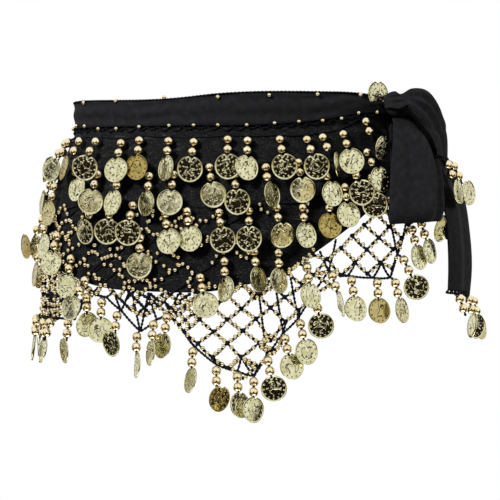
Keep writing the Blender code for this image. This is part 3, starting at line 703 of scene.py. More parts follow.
def net_corner(corner, cells, edge, hem_places):
    """Place of a knot of the net: outer knots are drawn to the hem or to the border."""
    across, down = corner
    along = MIDDLE + across * NET_HALF_WIDE
    height = -down * NET_HALF_HIGH
    hem = float(np.interp(along, *hem_places)) - NET_SEAM
    border = straight(edge, along)
    above, below = (across, down - 1) in cells, (across, down + 1) in cells
    left, right = (across - 1, down) in cells, (across + 1, down) in cells
    if not above and below and height > hem - NET_REACH and not left and not right:
        height = hem
    elif not above:
        height = min(height + NET_EDGE_CORD, hem)
    if not below and above:
        height = max(border, min(height, border + NET_REACH)) if not left or not right else height
    if not below:
        height = max(height - NET_EDGE_CORD, border)
    if not left and not (above and not below) and not (below and not above):
        along -= NET_EDGE_CORD
    if not right and not (above and not below) and not (below and not above):
        along += NET_EDGE_CORD
    return along, height


def blend_rows(table, steps):
    """Rows between the rows of a table, on a smooth curve through them."""
    values = np.array(table, dtype=float)
    slopes = np.gradient(values, axis=0)
    rows = []
    for k in range(len(values) - 1):
        for step in range(steps):
            s = step / steps
            ease = s * s * (3 - 2 * s)
            lift = slopes[k] * s * (1 - s) ** 2 - slopes[k + 1] * s * s * (1 - s)
            rows.append(values[k] * (1 - ease) + values[k + 1] * ease + lift)
    rows.append(values[-1])
    return rows


def from_hex(code):
    """A colour given as sRGB, turned to linear."""
    shares = [int(code[k:k + 2], 16) / 255 for k in (1, 3, 5)]
    linear = [s / 12.92 if s <= 0.04045 else ((s + 0.055) / 1.055) ** 2.4 for s in shares]
    return (*linear, 1.0)


def add_node(tree, kind, settings=None, values=None):
    """Adds one node: settings are its own properties, values its sockets' links or plain values."""
    node = tree.nodes.new(kind)
    for name, value in (settings or {}).items():
        setattr(node, name, value)
    for socket, value in (values or {}).items():
        if isinstance(value, bpy.types.NodeSocket):
            tree.links.new(value, node.inputs[socket])
        else:
            node.inputs[socket].default_value = value
    return node


def put(name, data):
    """An object of its own for a mesh, a lamp or a camera, in the scene."""
    thing = bpy.data.objects.new(name, data)
    bpy.context.scene.collection.objects.link(thing)
    return thing


def new_material(name, finish):
    """A material with its shader: finish holds what is the same all over."""
    material = bpy.data.materials.new(name)
    material.use_nodes = True
    shader = material.node_tree.nodes["Principled BSDF"]
    for socket, value in finish.items():
        shader.inputs[socket].default_value = value
    return material, material.node_tree, shader


def colour_steps(tree, fac, steps):
    """A ramp from sRGB colours: steps are (place, colour)."""
    ramp = add_node(tree, "ShaderNodeValToRGB", {}, {"Fac": fac})
    points = ramp.color_ramp.elements
    while len(points) < len(steps):
        points.new(0.5)
    for point, (place, code) in zip(points, steps):
        point.position = place
        point.color = from_hex(code)
    return ramp.outputs["Color"]


def crushed_velvet():
    """Polyester velvet, crushed: black, with a soft grey shine where the nap lies over, painted into the base
    colour as lighter streaks, and painted grey glints on its tufts.
    """
    material, tree, shader = new_material("crushed velvet", {
        "Roughness": 0.6, "Specular IOR Level": 0.02, "Sheen Weight": 0.012, "Sheen Roughness": 0.3,
        "Sheen Tint": from_hex("#A0A0A2")})
    cloth = add_node(tree, "ShaderNodeUVMap", {"uv_map": "cloth"}).outputs["UV"]
    # The nap lies over in streaks about 3 mm by 9 mm; where it lies over most, the base colour is painted
    # lighter grey, a painted sheen
    streaks = add_node(tree, "ShaderNodeMapping", {}, {"Vector": cloth, "Scale": (110.0, 300.0, 1.0)})
    lie = add_node(tree, "ShaderNodeTexNoise", {}, {"Vector": streaks.outputs["Vector"], "Scale": 1.0,
                                                   "Detail": 5.0, "Roughness": 0.62, "Distortion": 0.8})
    colour = colour_steps(tree, lie.outputs["Fac"],
                          ((0.36, "#040404"), (0.56, "#070707"), (0.66, "#0F0F10"), (0.76, "#222225")))
    # Tufts of the nap, drawn at 0.9 mm so that they show: here and there one gets a painted glint, a grey
    # fleck added to the base colour
    tufts = add_node(tree, "ShaderNodeTexNoise", {}, {"Vector": cloth, "Scale": 1100.0, "Detail": 2.0})
    painted_glints = colour_steps(tree, tufts.outputs["Fac"],
                          ((0.54, "#000000"), (0.65, "#0D0D0E"), (0.74, "#3A3A3E")))
    both = add_node(tree, "ShaderNodeMix", {"data_type": "RGBA", "blend_type": "ADD"}, {
        "Factor": 1.0, 6: colour, 7: painted_glints})
    tree.links.new(both.outputs[2], shader.inputs["Base Color"])
    height = add_node(tree, "ShaderNodeMath", {"operation": "MULTIPLY_ADD"},
                      {0: lie.outputs["Fac"], 1: 2.5, 2: tufts.outputs["Fac"]})
    bump = add_node(tree, "ShaderNodeBump", {}, {"Height": height.outputs["Value"], "Strength": 0.55,
                                                 "Distance": 0.0005})
    tree.links.new(bump.outputs["Normal"], shader.inputs["Normal"])
    return material


def chiffon():
    """Polyester chiffon in two layers: matt charcoal black, with a fine plain weave."""
    material, tree, shader = new_material("chiffon", {
        "Roughness": 0.8, "Specular IOR Level": 0.03, "Sheen Weight": 0.01, "Sheen Roughness": 0.4,
        "Sheen Tint": from_hex("#8E8E92")})
    cloth = add_node(tree, "ShaderNodeUVMap", {"uv_map": "cloth"}).outputs["UV"]
    # Threads are about 0.35 mm apart on real chiffon, and drawn at 0.9 mm so that they show
    parts = add_node(tree, "ShaderNodeSeparateXYZ", {}, {"Vector": cloth})
    waves = []
    for axis in ("X", "Y"):
        turn = add_node(tree, "ShaderNodeMath", {"operation": "MULTIPLY"},
                        {0: parts.outputs[axis], 1: 2 * math.pi / 0.0009})
        waves.append(add_node(tree, "ShaderNodeMath", {"operation": "SINE"}, {0: turn.outputs["Value"]}))
    weave = add_node(tree, "ShaderNodeMath", {"operation": "MULTIPLY"},
                     {0: waves[0].outputs["Value"], 1: waves[1].outputs["Value"]})
    slub = add_node(tree, "ShaderNodeTexNoise", {}, {"Vector": cloth, "Scale": 160.0, "Detail": 4.0,
                                                     "Roughness": 0.6})
    colour = colour_steps(tree, slub.outputs["Fac"],
                          ((0.35, "#0A0A0B"), (0.55, "#0D0D0E"), (0.72, "#111112")))
    tree.links.new(colour, shader.inputs["Base Color"])
    height = add_node(tree, "ShaderNodeMath", {"operation": "MULTIPLY_ADD"},
                      {0: weave.outputs["Value"], 1: 0.35, 2: slub.outputs["Fac"]})
    bump = add_node(tree, "ShaderNodeBump", {}, {"Height": height.outputs["Value"], "Strength": 0.3,
                                                 "Distance": 0.0003})
    tree.links.new(bump.outputs["Normal"], shader.inputs["Normal"])
    return material


def crochet_yarn():
    """Black polyester yarn, twisted: nearly black with a faint fibre shine."""
    material, tree, shader = new_material("crochet yarn", {
        "Roughness": 0.6, "Specular IOR Level": 0.05})
    place = add_node(tree, "ShaderNodeTexCoord").outputs["Object"]
    # Fibres drawn at 0.6 mm
    fibres = add_node(tree, "ShaderNodeTexNoise", {}, {"Vector": place, "Scale": 1600.0, "Detail": 2.0})
    colour = colour_steps(tree, fibres.outputs["Fac"],
                          ((0.35, "#050507"), (0.6, "#09090C"), (0.75, "#121217")))
    tree.links.new(colour, shader.inputs["Base Color"])
    bump = add_node(tree, "ShaderNodeBump", {}, {"Height": fibres.outputs["Fac"], "Strength": 0.5,
                                                 "Distance": 0.0003})
    tree.links.new(bump.outputs["Normal"], shader.inputs["Normal"])
    return material


def gilt_bead():
    """Plastic bead with a vacuum gold coat: mirror bright and warm."""
    material, tree, shader = new_material("gilt bead", {"Metallic": 1.0, "Roughness": 0.07})
    place = add_node(tree, "ShaderNodeTexCoord").outputs["Object"]
    # The coat differs a little from bead to bead and round each one, over about 6 mm
    coat = add_node(tree, "ShaderNodeTexNoise", {}, {"Vector": place, "Scale": 160.0, "Detail": 1.0})
    colour = colour_steps(tree, coat.outputs["Fac"], ((0.3, "#EEDDAE"), (0.6, "#F4E8C4"), (0.8, "#F8F0D6")))
    tree.links.new(colour, shader.inputs["Base Color"])
    return material


def stamped_coin():
    """Thin stamped steel with pale gold plate: a ring of dots round a scrolled middle, in relief."""
    material, tree, shader = new_material("stamped coin", {"Metallic": 1.0, "Roughness": 0.13})
    stamp = add_node(tree, "ShaderNodeUVMap", {"uv_map": "stamp"}).outputs["UV"]
    pick = add_node(tree, "ShaderNodeAttribute", {"attribute_name": "pick"}).outputs["Fac"]
    parts = add_node(tree, "ShaderNodeSeparateXYZ", {}, {"Vector": stamp}).outputs
    reach = add_node(tree, "ShaderNodeVectorMath", {"operation": "LENGTH"}, {0: stamp}).outputs["Value"]
    radius = COIN_RADIUS * MM
    # Ring of dots, each about 1.3 mm across
    turn = add_node(tree, "ShaderNodeMath", {"operation": "ARCTAN2"}, {0: parts["X"], 1: parts["Y"]})
    around = add_node(tree, "ShaderNodeMath", {"operation": "MULTIPLY"}, {0: turn.outputs["Value"], 1: DOTS})
    beat = add_node(tree, "ShaderNodeMath", {"operation": "COSINE"}, {0: around.outputs["Value"]})
    off_ring = add_node(tree, "ShaderNodeMath", {"operation": "SUBTRACT"}, {0: reach, 1: DOT_RING * radius})
    near_ring = add_node(tree, "ShaderNodeMath", {"operation": "ABSOLUTE"}, {0: off_ring.outputs["Value"]})
    band = add_node(tree, "ShaderNodeMapRange", {"interpolation_type": "SMOOTHSTEP"},
                    {"Value": near_ring.outputs["Value"], "From Min": 0.0002, "From Max": 0.001,
                     "To Min": 1.0, "To Max": 0.0})
    spot = add_node(tree, "ShaderNodeMapRange", {"interpolation_type": "SMOOTHSTEP"},
                    {"Value": beat.outputs["Value"], "From Min": 0.5, "From Max": 0.98})
    dots = add_node(tree, "ShaderNodeMath", {"operation": "MULTIPLY"},
                    {0: band.outputs["Result"], 1: spot.outputs["Result"]})
    # Scrolls about 4 mm apart, each a raised line under 1 mm wide, other on every coin
    shift = add_node(tree, "ShaderNodeMath", {"operation": "MULTIPLY"}, {0: pick, 1: 40.0})
    swirl = add_node(tree, "ShaderNodeTexNoise", {"noise_dimensions": "4D"},
                     {"Vector": stamp, "W": shift.outputs["Value"], "Scale": 215.0, "Detail": 0.0,
                      "Distortion": 0.9})
    off_line = add_node(tree, "ShaderNodeMath", {"operation": "SUBTRACT"}, {0: swirl.outputs["Fac"], 1: 0.5})
    near_line = add_node(tree, "ShaderNodeMath", {"operation": "ABSOLUTE"}, {0: off_line.outputs["Value"]})
    lines = add_node(tree, "ShaderNodeMapRange", {"interpolation_type": "SMOOTHSTEP"},
                     {"Value": near_line.outputs["Value"], "From Min": 0.01, "From Max": 0.075,
                      "To Min": 1.0, "To Max": 0.0})
    middle = add_node(tree, "ShaderNodeMapRange", {"interpolation_type": "SMOOTHSTEP"},
                      {"Value": reach, "From Min": 0.5 * radius, "From Max": 0.62 * radius,
                       "To Min": 1.0, "To Max": 0.0})
    scrolls = add_node(tree, "ShaderNodeMath", {"operation": "MULTIPLY"},
                       {0: lines.outputs["Result"], 1: middle.outputs["Result"]})
    relief = add_node(tree, "ShaderNodeMath", {"operation": "ADD"},
                      {0: dots.outputs["Value"], 1: scrolls.outputs["Value"]})
    # Shallow dents of the thin plate, about 5 mm across
    dents = add_node(tree, "ShaderNodeTexNoise", {"noise_dimensions": "4D"},
                     {"Vector": stamp, "W": shift.outputs["Value"], "Scale": 190.0, "Detail": 1.0})
    height = add_node(tree, "ShaderNodeMath", {"operation": "MULTIPLY_ADD"},
                      {0: dents.outputs["Fac"], 1: 0.18, 2: relief.outputs["Value"]})
    bump = add_node(tree, "ShaderNodeBump", {}, {"Height": height.outputs["Value"], "Strength": 1.0,
                                                 "Distance": 0.0004})
    tree.links.new(bump.outputs["Normal"], shader.inputs["Normal"])
    # The plate is browner in the sunk ground, paler up the relief and dark on its tops where the dents run
    # high, and about one coin in six has a deeper gold
    tone = add_node(tree, "ShaderNodeMath", {"operation": "MULTIPLY_ADD"},
                    {0: relief.outputs["Value"], 1: 0.5, 2: dents.outputs["Fac"]})
    plate = colour_steps(tree, tone.outputs["Value"], ((0.35, "#CBC596"), (0.55, "#DEDBB3"), (0.8, "#ECE9CA"),
                                                       (0.98, "#6A6240")))
    wear = colour_steps(tree, pick, ((0.0, "#FFFFFF"), (0.82, "#FFFFFF"), (0.86, "#CDBB8A")))
    colour = add_node(tree, "ShaderNodeMix", {"data_type": "RGBA", "blend_type": "MULTIPLY"}, {
        "Factor": 1.0, 6: plate, 7: wear})
    tree.links.new(colour.outputs[2], shader.inputs["Base Color"])
    return material


def crease_field(places, heights, creases):
    """Lift of many creases over whole arrays of places: each is a soft ridge or trough."""
    lift = np.zeros_like(places)
    for from_along, from_height, to_along, to_height, half_width, rise in creases:
        run_along, run_height = to_along - from_along, to_height - from_height
        size = run_along ** 2 + run_height ** 2
        share = ((places - from_along) * run_along + (heights - from_height) * run_height) / size
        share = np.clip(share, 0.0, 1.0)
        off_along = places - from_along - share * run_along
        off_height = heights - from_height - share * run_height
        fade = np.sin(math.pi * (FADE_START + FADE_RUN * share))
        lift += rise * fade * np.exp(-(off_along ** 2 + off_height ** 2) / half_width ** 2)
    return lift


def crush_creases():
    """Short wrinkles of the crushed nap, turned towards the knot near it and level elsewhere."""
    chance = random.Random(SEED)
    creases = []
    for _ in range(CRUSH_COUNT):
        along = chance.uniform(*CLOTH_ENDS)
        height = read(BAND_FOOT, along) + chance.random() * (read(HEM, along) - read(BAND_FOOT, along))
        pull = min(max((along - PULL_FROM) / PULL_OVER, 0.0), 1.0)
        turn = math.radians(chance.gauss(PULL_TURN * pull, CRUSH_TURN * 0.5))
        half_long = chance.uniform(*CRUSH_LONG) / 2
        reach = (half_long * math.cos(turn), -half_long * math.sin(turn))
        creases.append((along - reach[0], height - reach[1], along + reach[0], height + reach[1],
                        chance.uniform(*CRUSH_WIDE), -chance.uniform(*CRUSH_DEEP)))
    return creases


def cloth_shell(name, rows, spread, wall, material):
    """A thin shell from rows of points, top row first, with a UV map in metres of flat cloth."""
    mesh = bpy.data.meshes.new(name)
    bm = bmesh.new()
    flat = bm.loops.layers.uv.new("cloth")
    made = [[bm.verts.new(point) for point in row] for row in rows]
    for down in range(len(made) - 1):
        for across in range(len(made[0]) - 1):
            corners = ((down, across), (down + 1, across), (down + 1, across + 1), (down, across + 1))
            face = bm.faces.new([made[i][j] for i, j in corners])
            face.smooth = True
            for loop, (i, j) in zip(face.loops, corners):
                loop[flat].uv = spread[i][j]
    bm.to_mesh(mesh)
    bm.free()
    mesh.materials.append(material)
    piece = put(name, mesh)
    solidify = piece.modifiers.new("wall", "SOLIDIFY")
    solidify.thickness = wall * MM
    solidify.offset = -1.0
    return piece


def ring_shell(name, across, down, top, foot, lift, wall, material):
    """A shell of cloth round the hips between two edges, lifted by a function of place."""
    turns = np.linspace(angle_at(CLOTH_ENDS[0]), angle_at(CLOTH_ENDS[1]), across + 1)
    places = np.interp(turns, TAPE_ANGLES, TAPE_LENGTHS)
    tops = np.array([top(place) for place in places])
    feet = np.array([foot(place) for place in places])
    shares = np.linspace(0.0, 1.0, down + 1)
    heights = tops[None, :] + (feet - tops)[None, :] * shares[:, None]
    wide = np.broadcast_to(places, heights.shape)
    outs = lift(wide, heights, shares[:, None])
    rows = []
    spread = []
    for i in range(down + 1):
        rows.append([on_hips(wide[i, j], heights[i, j], outs[i, j]) for j in range(across + 1)])
        spread.append([(wide[i, j] * MM, heights[i, j] * MM) for j in range(across + 1)])
    area = float(np.trapz(tops - feet, places)) * MM * MM
    return cloth_shell(name, rows, spread, wall, material), area


def make_panel(material):
    """Panel of crushed velvet, with its turned hem."""
    crush = crush_creases()

    def lift(places, heights, shares):
        out = crease_field(places, heights, CREASES) + crease_field(places, heights, SMALL_CREASES)
        out += crease_field(places, heights, crush)
        hems = np.array([read(HEM, place) for place in places[0]])
        fold = np.exp(-((heights - hems) / PANEL_HEM_DEEP) ** 2) * PANEL_HEM_FOLD
        seams = np.array([read(BAND_FOOT, place) for place in places[0]])
        ease = np.clip((seams - heights) / PANEL_SEAM_EASE, 0.0, 1.0)
        return (out + fold) * ease - PANEL_TUCK * (1.0 - ease)

    return ring_shell("velvet_panel", PANEL_ACROSS, PANEL_DOWN,
                      lambda place: read(BAND_FOOT, place) + PANEL_UNDER,
                      lambda place: read(HEM, place), lift, PANEL_SHELL, material)


def make_band(material):
    """Waistband: folded chiffon, pulled into the knot, with a soft fold at its top edge."""

    def lift(places, heights, shares):
        out = np.full(places.shape, BAND_OUT)
        out += BAND_SOFT * np.sin(math.pi * shares)
        sway = sum(size * np.sin(places / length + start) for size, length, start in FOLD_WAVES)
        for share, half, rise in BAND_FOLDS:
            out += rise * np.exp(-((shares - share - sway) / half) ** 2)
        return out + crease_field(places, heights, BAND_CREASES)

    return ring_shell("chiffon_waistband", BAND_ACROSS, BAND_DOWN, lambda p: read(BAND_TOP, p),
                      lambda p: read(BAND_FOOT, p), lift, BAND_SHELL, material)


def make_bow_strip(name, table, folds, wall, material, start=()):
    """One strip of the tie, on its solid's own sections but with all its folds, and what leads to it."""
    rows = []
    spread = []
    length = 0.0
    width = 0.0
    area = 0.0
    for section in blend_rows(start + table, BOW_ALONG):
        left, right, share = section[0:3], section[3:6], section[6]
        row = []
        for k in range(BOW_ACROSS):
            across = k / (BOW_ACROSS - 1)
            degrees, height, out = left + (right - left) * across
            row.append(by_angle(degrees, height, out + share * straight(folds, across)))
        row = soften(row)
        run = [0.0]
        for before, after in zip(row, row[1:]):
            run.append(run[-1] + (after - before).length)
        if rows:
            step = (row[BOW_ACROSS // 2] - rows[-1][BOW_ACROSS // 2]).length
            length += step
            area += step * run[-1]
        width = max(width, run[-1])
        rows.append(row)
        spread.append([(reach, -length) for reach in run])
    return cloth_shell(name, rows, spread, wall, material), (width, length), area


def soften(row):
    """Takes the corners out of the folds across a strip, leaving its two edges."""
    for _ in range(SOFTEN_ROUNDS):
        inner = [(row[k - 1] + row[k] * 2 + row[k + 1]) / 4 for k in range(1, len(row) - 1)]
        row = [row[0], *inner, row[-1]]
    return row


def make_knot(material):
    """The knot: the band's ends drawn tight, in soft turns."""
    mesh = bpy.data.meshes.new("tied_knot")
    bm = bmesh.new()
    bmesh.ops.create_uvsphere(bm, u_segments=KNOT_TURNS, v_segments=KNOT_RINGS, radius=1.0, calc_uvs=False)
    flat = bm.loops.layers.uv.new("cloth")
    degrees = math.degrees(angle_at(KNOT_ALONG))
    middle_out = BAND_OUT + SEAM + KNOT_HALF_OUT
    middle = by_angle(degrees, KNOT_HEIGHT, middle_out)
    aside = (by_angle(degrees + 1, 0, middle_out) - by_angle(degrees - 1, 0, middle_out)).normalized()
    outward = Vector((aside.y, -aside.x, 0.0))
    for face in bm.faces:
        face.smooth = True
        for loop in face.loops:
            co = loop.vert.co
            loop[flat].uv = (math.atan2(co.x, -co.y) * KNOT_ALONG_HALF * MM, co.z * KNOT_HALF_HEIGHT * MM)
    for vert in bm.verts:
        side, height, out = vert.co.x, vert.co.z, -vert.co.y
        deep, beat, lean = KNOT_TURN
        wrap = 1.0 - deep * max(out, 0.0) * (1 + math.cos(beat * (height + lean * side)))
        deep, beat, lean = KNOT_CREASE
        wrap -= deep * max(out, 0.0) * (1 - abs(math.sin(beat * (height + lean * side)))) ** 2
        step = aside * side * KNOT_ALONG_HALF + outward * out * KNOT_HALF_OUT
        step += Vector((0, 0, height * KNOT_HALF_HEIGHT))
        vert.co = middle + step * wrap * MM
    bm.normal_update()
    bmesh.ops.recalc_face_normals(bm, faces=bm.faces)
    bm.to_mesh(mesh)
    bm.free()
    mesh.materials.append(material)
    return put("tied_knot", mesh)


def blank_collection(name, meshes):
    """A collection, out of the scene, of the blanks that a node tree picks from."""
    collection = bpy.data.collections.new(name)
    for k, mesh in enumerate(meshes):
        collection.objects.link(bpy.data.objects.new(f"{name}_{k}", mesh))
    return collection


def bead_blank(name, radius, flatter, turns, rings):
    """A round bead, its thread along Y."""
    mesh = bpy.data.meshes.new(name)
    bm = bmesh.new()
    bmesh.ops.create_uvsphere(bm, u_segments=turns, v_segments=rings, radius=radius * MM)
    bmesh.ops.rotate(bm, verts=bm.verts, matrix=Matrix.Rotation(math.radians(90), 3, "X"))
    bmesh.ops.scale(bm, verts=bm.verts, vec=(1.0, flatter, 1.0))
    for face in bm.faces:
        face.smooth = True
    bm.to_mesh(mesh)
    bm.free()
    return mesh


def coin_blank(name, bend, bend_turn, seed):
    """A stamped coin: notched at the top, slightly bent, with a thin raised rim and a dented face."""
    chance = random.Random(seed)
    mesh = bpy.data.meshes.new(name)
    bm = bmesh.new()
    stamp = bm.loops.layers.uv.new("stamp")
    across = (math.cos(math.radians(bend_turn)), math.sin(math.radians(bend_turn)))

    def corner(k, share, rise):
        turn = 2 * math.pi * k / COIN_TURNS
        reach = share * COIN_RADIUS
        if k == 0 and share > RIM_FROM:
            reach -= NOTCH_DEEP
        x, y = reach * math.sin(turn), reach * math.cos(turn)
        bent = bend * ((x * across[0] + y * across[1]) / COIN_RADIUS) ** 2
        return bm.verts.new((x * MM, y * MM, (rise - bent) * MM))

    half = COIN_WALL / 2 - RIM_RISE
    front_middle = bm.verts.new((0, 0, half * MM))
    back_middle = bm.verts.new((0, 0, -half * MM))
    front = []
    for share, rise in COIN_RINGS:
        dent = HAMMER if share < RIM_FROM else 0.0
        front.append([corner(k, share, half + rise * RIM_RISE + chance.uniform(-dent, dent))
                      for k in range(COIN_TURNS)])
    edge = [corner(k, 1.0, half) for k in range(COIN_TURNS)]
    under = [corner(k, COIN_UNDER, -half) for k in range(COIN_TURNS)]
    back = [corner(k, COIN_BACK, -half + chance.uniform(-HAMMER, HAMMER) / 2) for k in range(COIN_TURNS)]
    rings = [*front, edge, under, back]
    for k in range(COIN_TURNS):
        after = (k + 1) % COIN_TURNS
        bm.faces.new((front_middle, rings[0][after], rings[0][k]))
        bm.faces.new((back_middle, back[k], back[after]))
        for inner, outer in zip(rings, rings[1:]):
            bm.faces.new((inner[k], inner[after], outer[after], outer[k]))
    bm.normal_update()
    bmesh.ops.recalc_face_normals(bm, faces=bm.faces)
    for face in bm.faces:
        face.smooth = True
        for loop in face.loops:
            loop[stamp].uv = (loop.vert.co.x, loop.vert.co.y)
    bm.to_mesh(mesh)
    bm.free()
    return mesh


def new_tree(name, sockets):
    """An empty tree of geometry nodes with its sockets."""
    tree = bpy.data.node_groups.new(name, "GeometryNodeTree")
    for label, kind in sockets:
        tree.interface.new_socket(label, in_out="INPUT", socket_type="NodeSocket" + kind)
    tree.interface.new_socket("Made", in_out="OUTPUT", socket_type="NodeSocketGeometry")
    return tree


def placing_tree():
    """Geometry nodes that set a picked blank at every place, turned as the place says."""
    tree = new_tree("blanks at places", (("Places", "Geometry"), ("Blanks", "Collection"),
                                         ("Finish", "Material"), ("Size", "Float")))
    given = add_node(tree, "NodeGroupInput").outputs
    blanks = add_node(tree, "GeometryNodeCollectionInfo", {}, {
        "Collection": given["Blanks"], "Separate Children": True, "Reset Children": True})
    turned = add_node(tree, "GeometryNodeInputNamedAttribute", {"data_type": "QUATERNION"},
                      {"Name": "turned"})
    kind = add_node(tree, "GeometryNodeInputNamedAttribute", {"data_type": "INT"}, {"Name": "kind"})
    placed = add_node(tree, "GeometryNodeInstanceOnPoints", {}, {
        "Points": given["Places"], "Instance": blanks.outputs["Instances"], "Pick Instance": True,
        "Instance Index": kind.outputs["Attribute"], "Rotation": turned.outputs["Attribute"],
        "Scale": given["Size"]})
    real = add_node(tree, "GeometryNodeRealizeInstances", {}, {"Geometry": placed.outputs["Instances"]})
    done = add_node(tree, "GeometryNodeSetMaterial", {}, {
        "Geometry": real.outputs["Geometry"], "Material": given["Finish"]})
    add_node(tree, "NodeGroupOutput", {}, {"Made": done.outputs["Geometry"]})
    return tree


def crochet_tree():
    """Geometry nodes that crochet a cord along every path: a flat yarn, twisted once for two stitches."""
    tree = new_tree("crochet along paths", (("Paths", "Geometry"), ("Thickness", "Float"),
                                            ("Stitch", "Float"), ("Finish", "Material")))
    given = add_node(tree, "NodeGroupInput").outputs
    path = add_node(tree, "GeometryNodeMeshToCurve", {}, {"Mesh": given["Paths"]})
    step = add_node(tree, "ShaderNodeMath", {"operation": "DIVIDE"}, {0: given["Stitch"], 1: 3.0})
    evened = add_node(tree, "GeometryNodeResampleCurve", {"mode": "LENGTH"}, {
        "Curve": path.outputs["Curve"], "Length": step.outputs["Value"]})
    gone = add_node(tree, "GeometryNodeSplineParameter").outputs["Length"]
    stitches = add_node(tree, "ShaderNodeMath", {"operation": "DIVIDE"}, {0: gone, 1: given["Stitch"]})
    twist = add_node(tree, "ShaderNodeMath", {"operation": "MULTIPLY"},
                     {0: stitches.outputs["Value"], 1: math.pi})
    twisted = add_node(tree, "GeometryNodeSetCurveTilt", {}, {
        "Curve": evened.outputs["Curve"], "Tilt": twist.outputs["Value"]})
    round_yarn = add_node(tree, "GeometryNodeCurvePrimitiveCircle", {}, {
        "Resolution": 6, "Radius": given["Thickness"]})
    flat_yarn = add_node(tree, "GeometryNodeTransform", {}, {
        "Geometry": round_yarn.outputs["Curve"], "Scale": (1.0, 0.55, 1.0)})
    cord = add_node(tree, "GeometryNodeCurveToMesh", {}, {
        "Curve": twisted.outputs["Curve"], "Profile Curve": flat_yarn.outputs["Geometry"], "Fill Caps": True})
    done = add_node(tree, "GeometryNodeSetMaterial", {}, {
        "Geometry": cord.outputs["Mesh"], "Material": given["Finish"]})
    add_node(tree, "NodeGroupOutput", {}, {"Made": done.outputs["Geometry"]})
    return tree


def grown(name, start, tree, values):
    """What a node tree makes of a starting mesh, as a plain piece."""
    holder = put(name + "_start", start)
    modifier = holder.modifiers.new("make", "NODES")
    modifier.node_group = tree
    for item in tree.interface.items_tree:
        if item.in_out == "INPUT" and item.name in values:
            modifier[item.identifier] = values[item.name]
    depsgraph = bpy.context.evaluated_depsgraph_get()
    mesh = bpy.data.meshes.new_from_object(holder.evaluated_get(depsgraph))
    bpy.data.objects.remove(holder)
    return put(name, mesh)


def places_mesh(name, places):
    """Points for the placing tree: each place is (point, aside, up, kind, pick)."""
    mesh = bpy.data.meshes.new(name)
    mesh.from_pydata([place[0] for place in places], [], [])
    turns = []
    for _, aside, up, _, _ in places:
        outward = aside.cross(up).normalized()
        turns.extend(Matrix((aside, up, outward)).transposed().to_quaternion())
    mesh.attributes.new("turned", "QUATERNION", "POINT").data.foreach_set("value", turns)
    mesh.attributes.new("kind", "INT", "POINT").data.foreach_set("value", [place[3] for place in places])
    mesh.attributes.new("pick", "FLOAT", "POINT").data.foreach_set("value", [place[4] for place in places])
    return mesh


def set_pieces(name, places, blanks, kit):
    """Places blanks of one kind as one joined piece."""
    finish = kit[{"coins": "coin", "lumps": "yarn"}.get(blanks, "bead")]
    return grown(name, places_mesh(name, places), kit["placing"], {
        "Blanks": kit[blanks], "Finish": finish, "Size": 1.0})


def crochet(name, paths, thickness, kit):
    """Crochets a cord along every path, as one joined piece."""
    mesh = bpy.data.meshes.new(name)
    points = []
    runs = []
    for path in paths:
        runs += [(len(points) + k, len(points) + k + 1) for k in range(len(path) - 1)]
        points += path
    mesh.from_pydata(points, runs, [])
    return grown(name, mesh, kit["crochet"], {
        "Thickness": thickness * MM, "Stitch": STITCH * MM, "Finish": kit["yarn"]})


def on_path(start, stop, out_at, sag=0.0, step=4.0):
    """Points of a cord laid between two places (along, height), with a little slack."""
    length = math.hypot(stop[0] - start[0], stop[1] - start[1])
    count = max(int(length / step), 2)
    points = []
    for k in range(count + 1):
        share = k / count
        along = start[0] + (stop[0] - start[0]) * share
        height = start[1] + (stop[1] - start[1]) * share - 4 * sag * share * (1 - share)
        points.append(on_hips(along, height, out_at(along, height)))
    return points


def facing(along, height, out, up):
    """A place on the hips for a seed bead, its thread along up."""
    point = on_hips(along, height, out)
    aside = (on_hips(along + 1, height, out) - on_hips(along - 1, height, out)).normalized()
    outward = Vector((aside.y, -aside.x, 0.0))
    up = (up - outward * up.dot(outward)).normalized()
    return point, up.cross(outward).normalized(), up


def seeds_on(start, stop, shares, out_at, chance, stray=SEED_STRAY):
    """Seed beads threaded on a cord between two places."""
    places = []
    for share in shares:
        along = start[0] + (stop[0] - start[0]) * share + chance.uniform(-stray, stray)
        height = start[1] + (stop[1] - start[1]) * share + chance.uniform(-stray, stray)
        out = out_at(along, height)
        ahead = on_hips(*stop, out) - on_hips(*start, out)
        places.append((*facing(along, height, out, ahead.normalized()), 0, chance.random()))
    return places


def turned_ahead(drop, ahead):
    """A coin turned about its middle to face a way, and moved out by part of what its edge dips in."""
    ahead = Vector(ahead).normalized()
    flat = drop.across.cross(drop.up).normalized()
    up = (drop.up - ahead * drop.up.dot(ahead)).normalized()
    lift = COIN_RADIUS * min(flat.cross(ahead).length, 1.0) * EDGE_LIFT
    outward = Vector((flat.x, flat.y, 0.0)).normalized()
    return drop.coin + outward * lift * MM, up.cross(ahead).normalized(), up


def settled(drop, chance):
    """A coin where its solid is, most often tipped up a little and now and then down."""
    flat = drop.across.cross(drop.up).normalized()
    tip = chance.uniform(*TIPPED_UP) if chance.random() < SHARE_UP else chance.uniform(*TIPPED_DOWN)
    return turned_ahead(drop, (flat.x, flat.y, tip))


def drop_places(name, drops, chance):
    """Places of the coins and of the beads of some drops."""
    coins = []
    beads = []
    for drop in drops:
        place = settled(drop, chance)
        kind, share = chance.randrange(len(COIN_BENDS)), chance.random()
        for along, ahead in AHEAD.get(name, ()):
            if abs(drop.along - along) < AHEAD_REACH:
                place = turned_ahead(drop, ahead)
                kind, share = 1, share * AHEAD_PALER
        coins.append((*place, kind, share))
        for bead in (drop.upper, drop.lower):
            beads.append((bead, drop.across, drop.up, 0, chance.random()))
    return coins, beads


def drop_threads(drops):
    """Threads from the chain to the notch of the solid's coin. The dressed coin is turned and moved
    out from there, so most threads end short of it."""
    paths = []
    for drop in drops:
        root = on_hips(drop.along, drop.height, drop.base + CHAIN_GAP + CHAIN_DEPTH / 2)
        notch = drop.coin + drop.up * (COIN_RADIUS - NOTCH_DEEP) * MM
        paths.append([root, drop.upper, drop.lower, notch])
    return paths


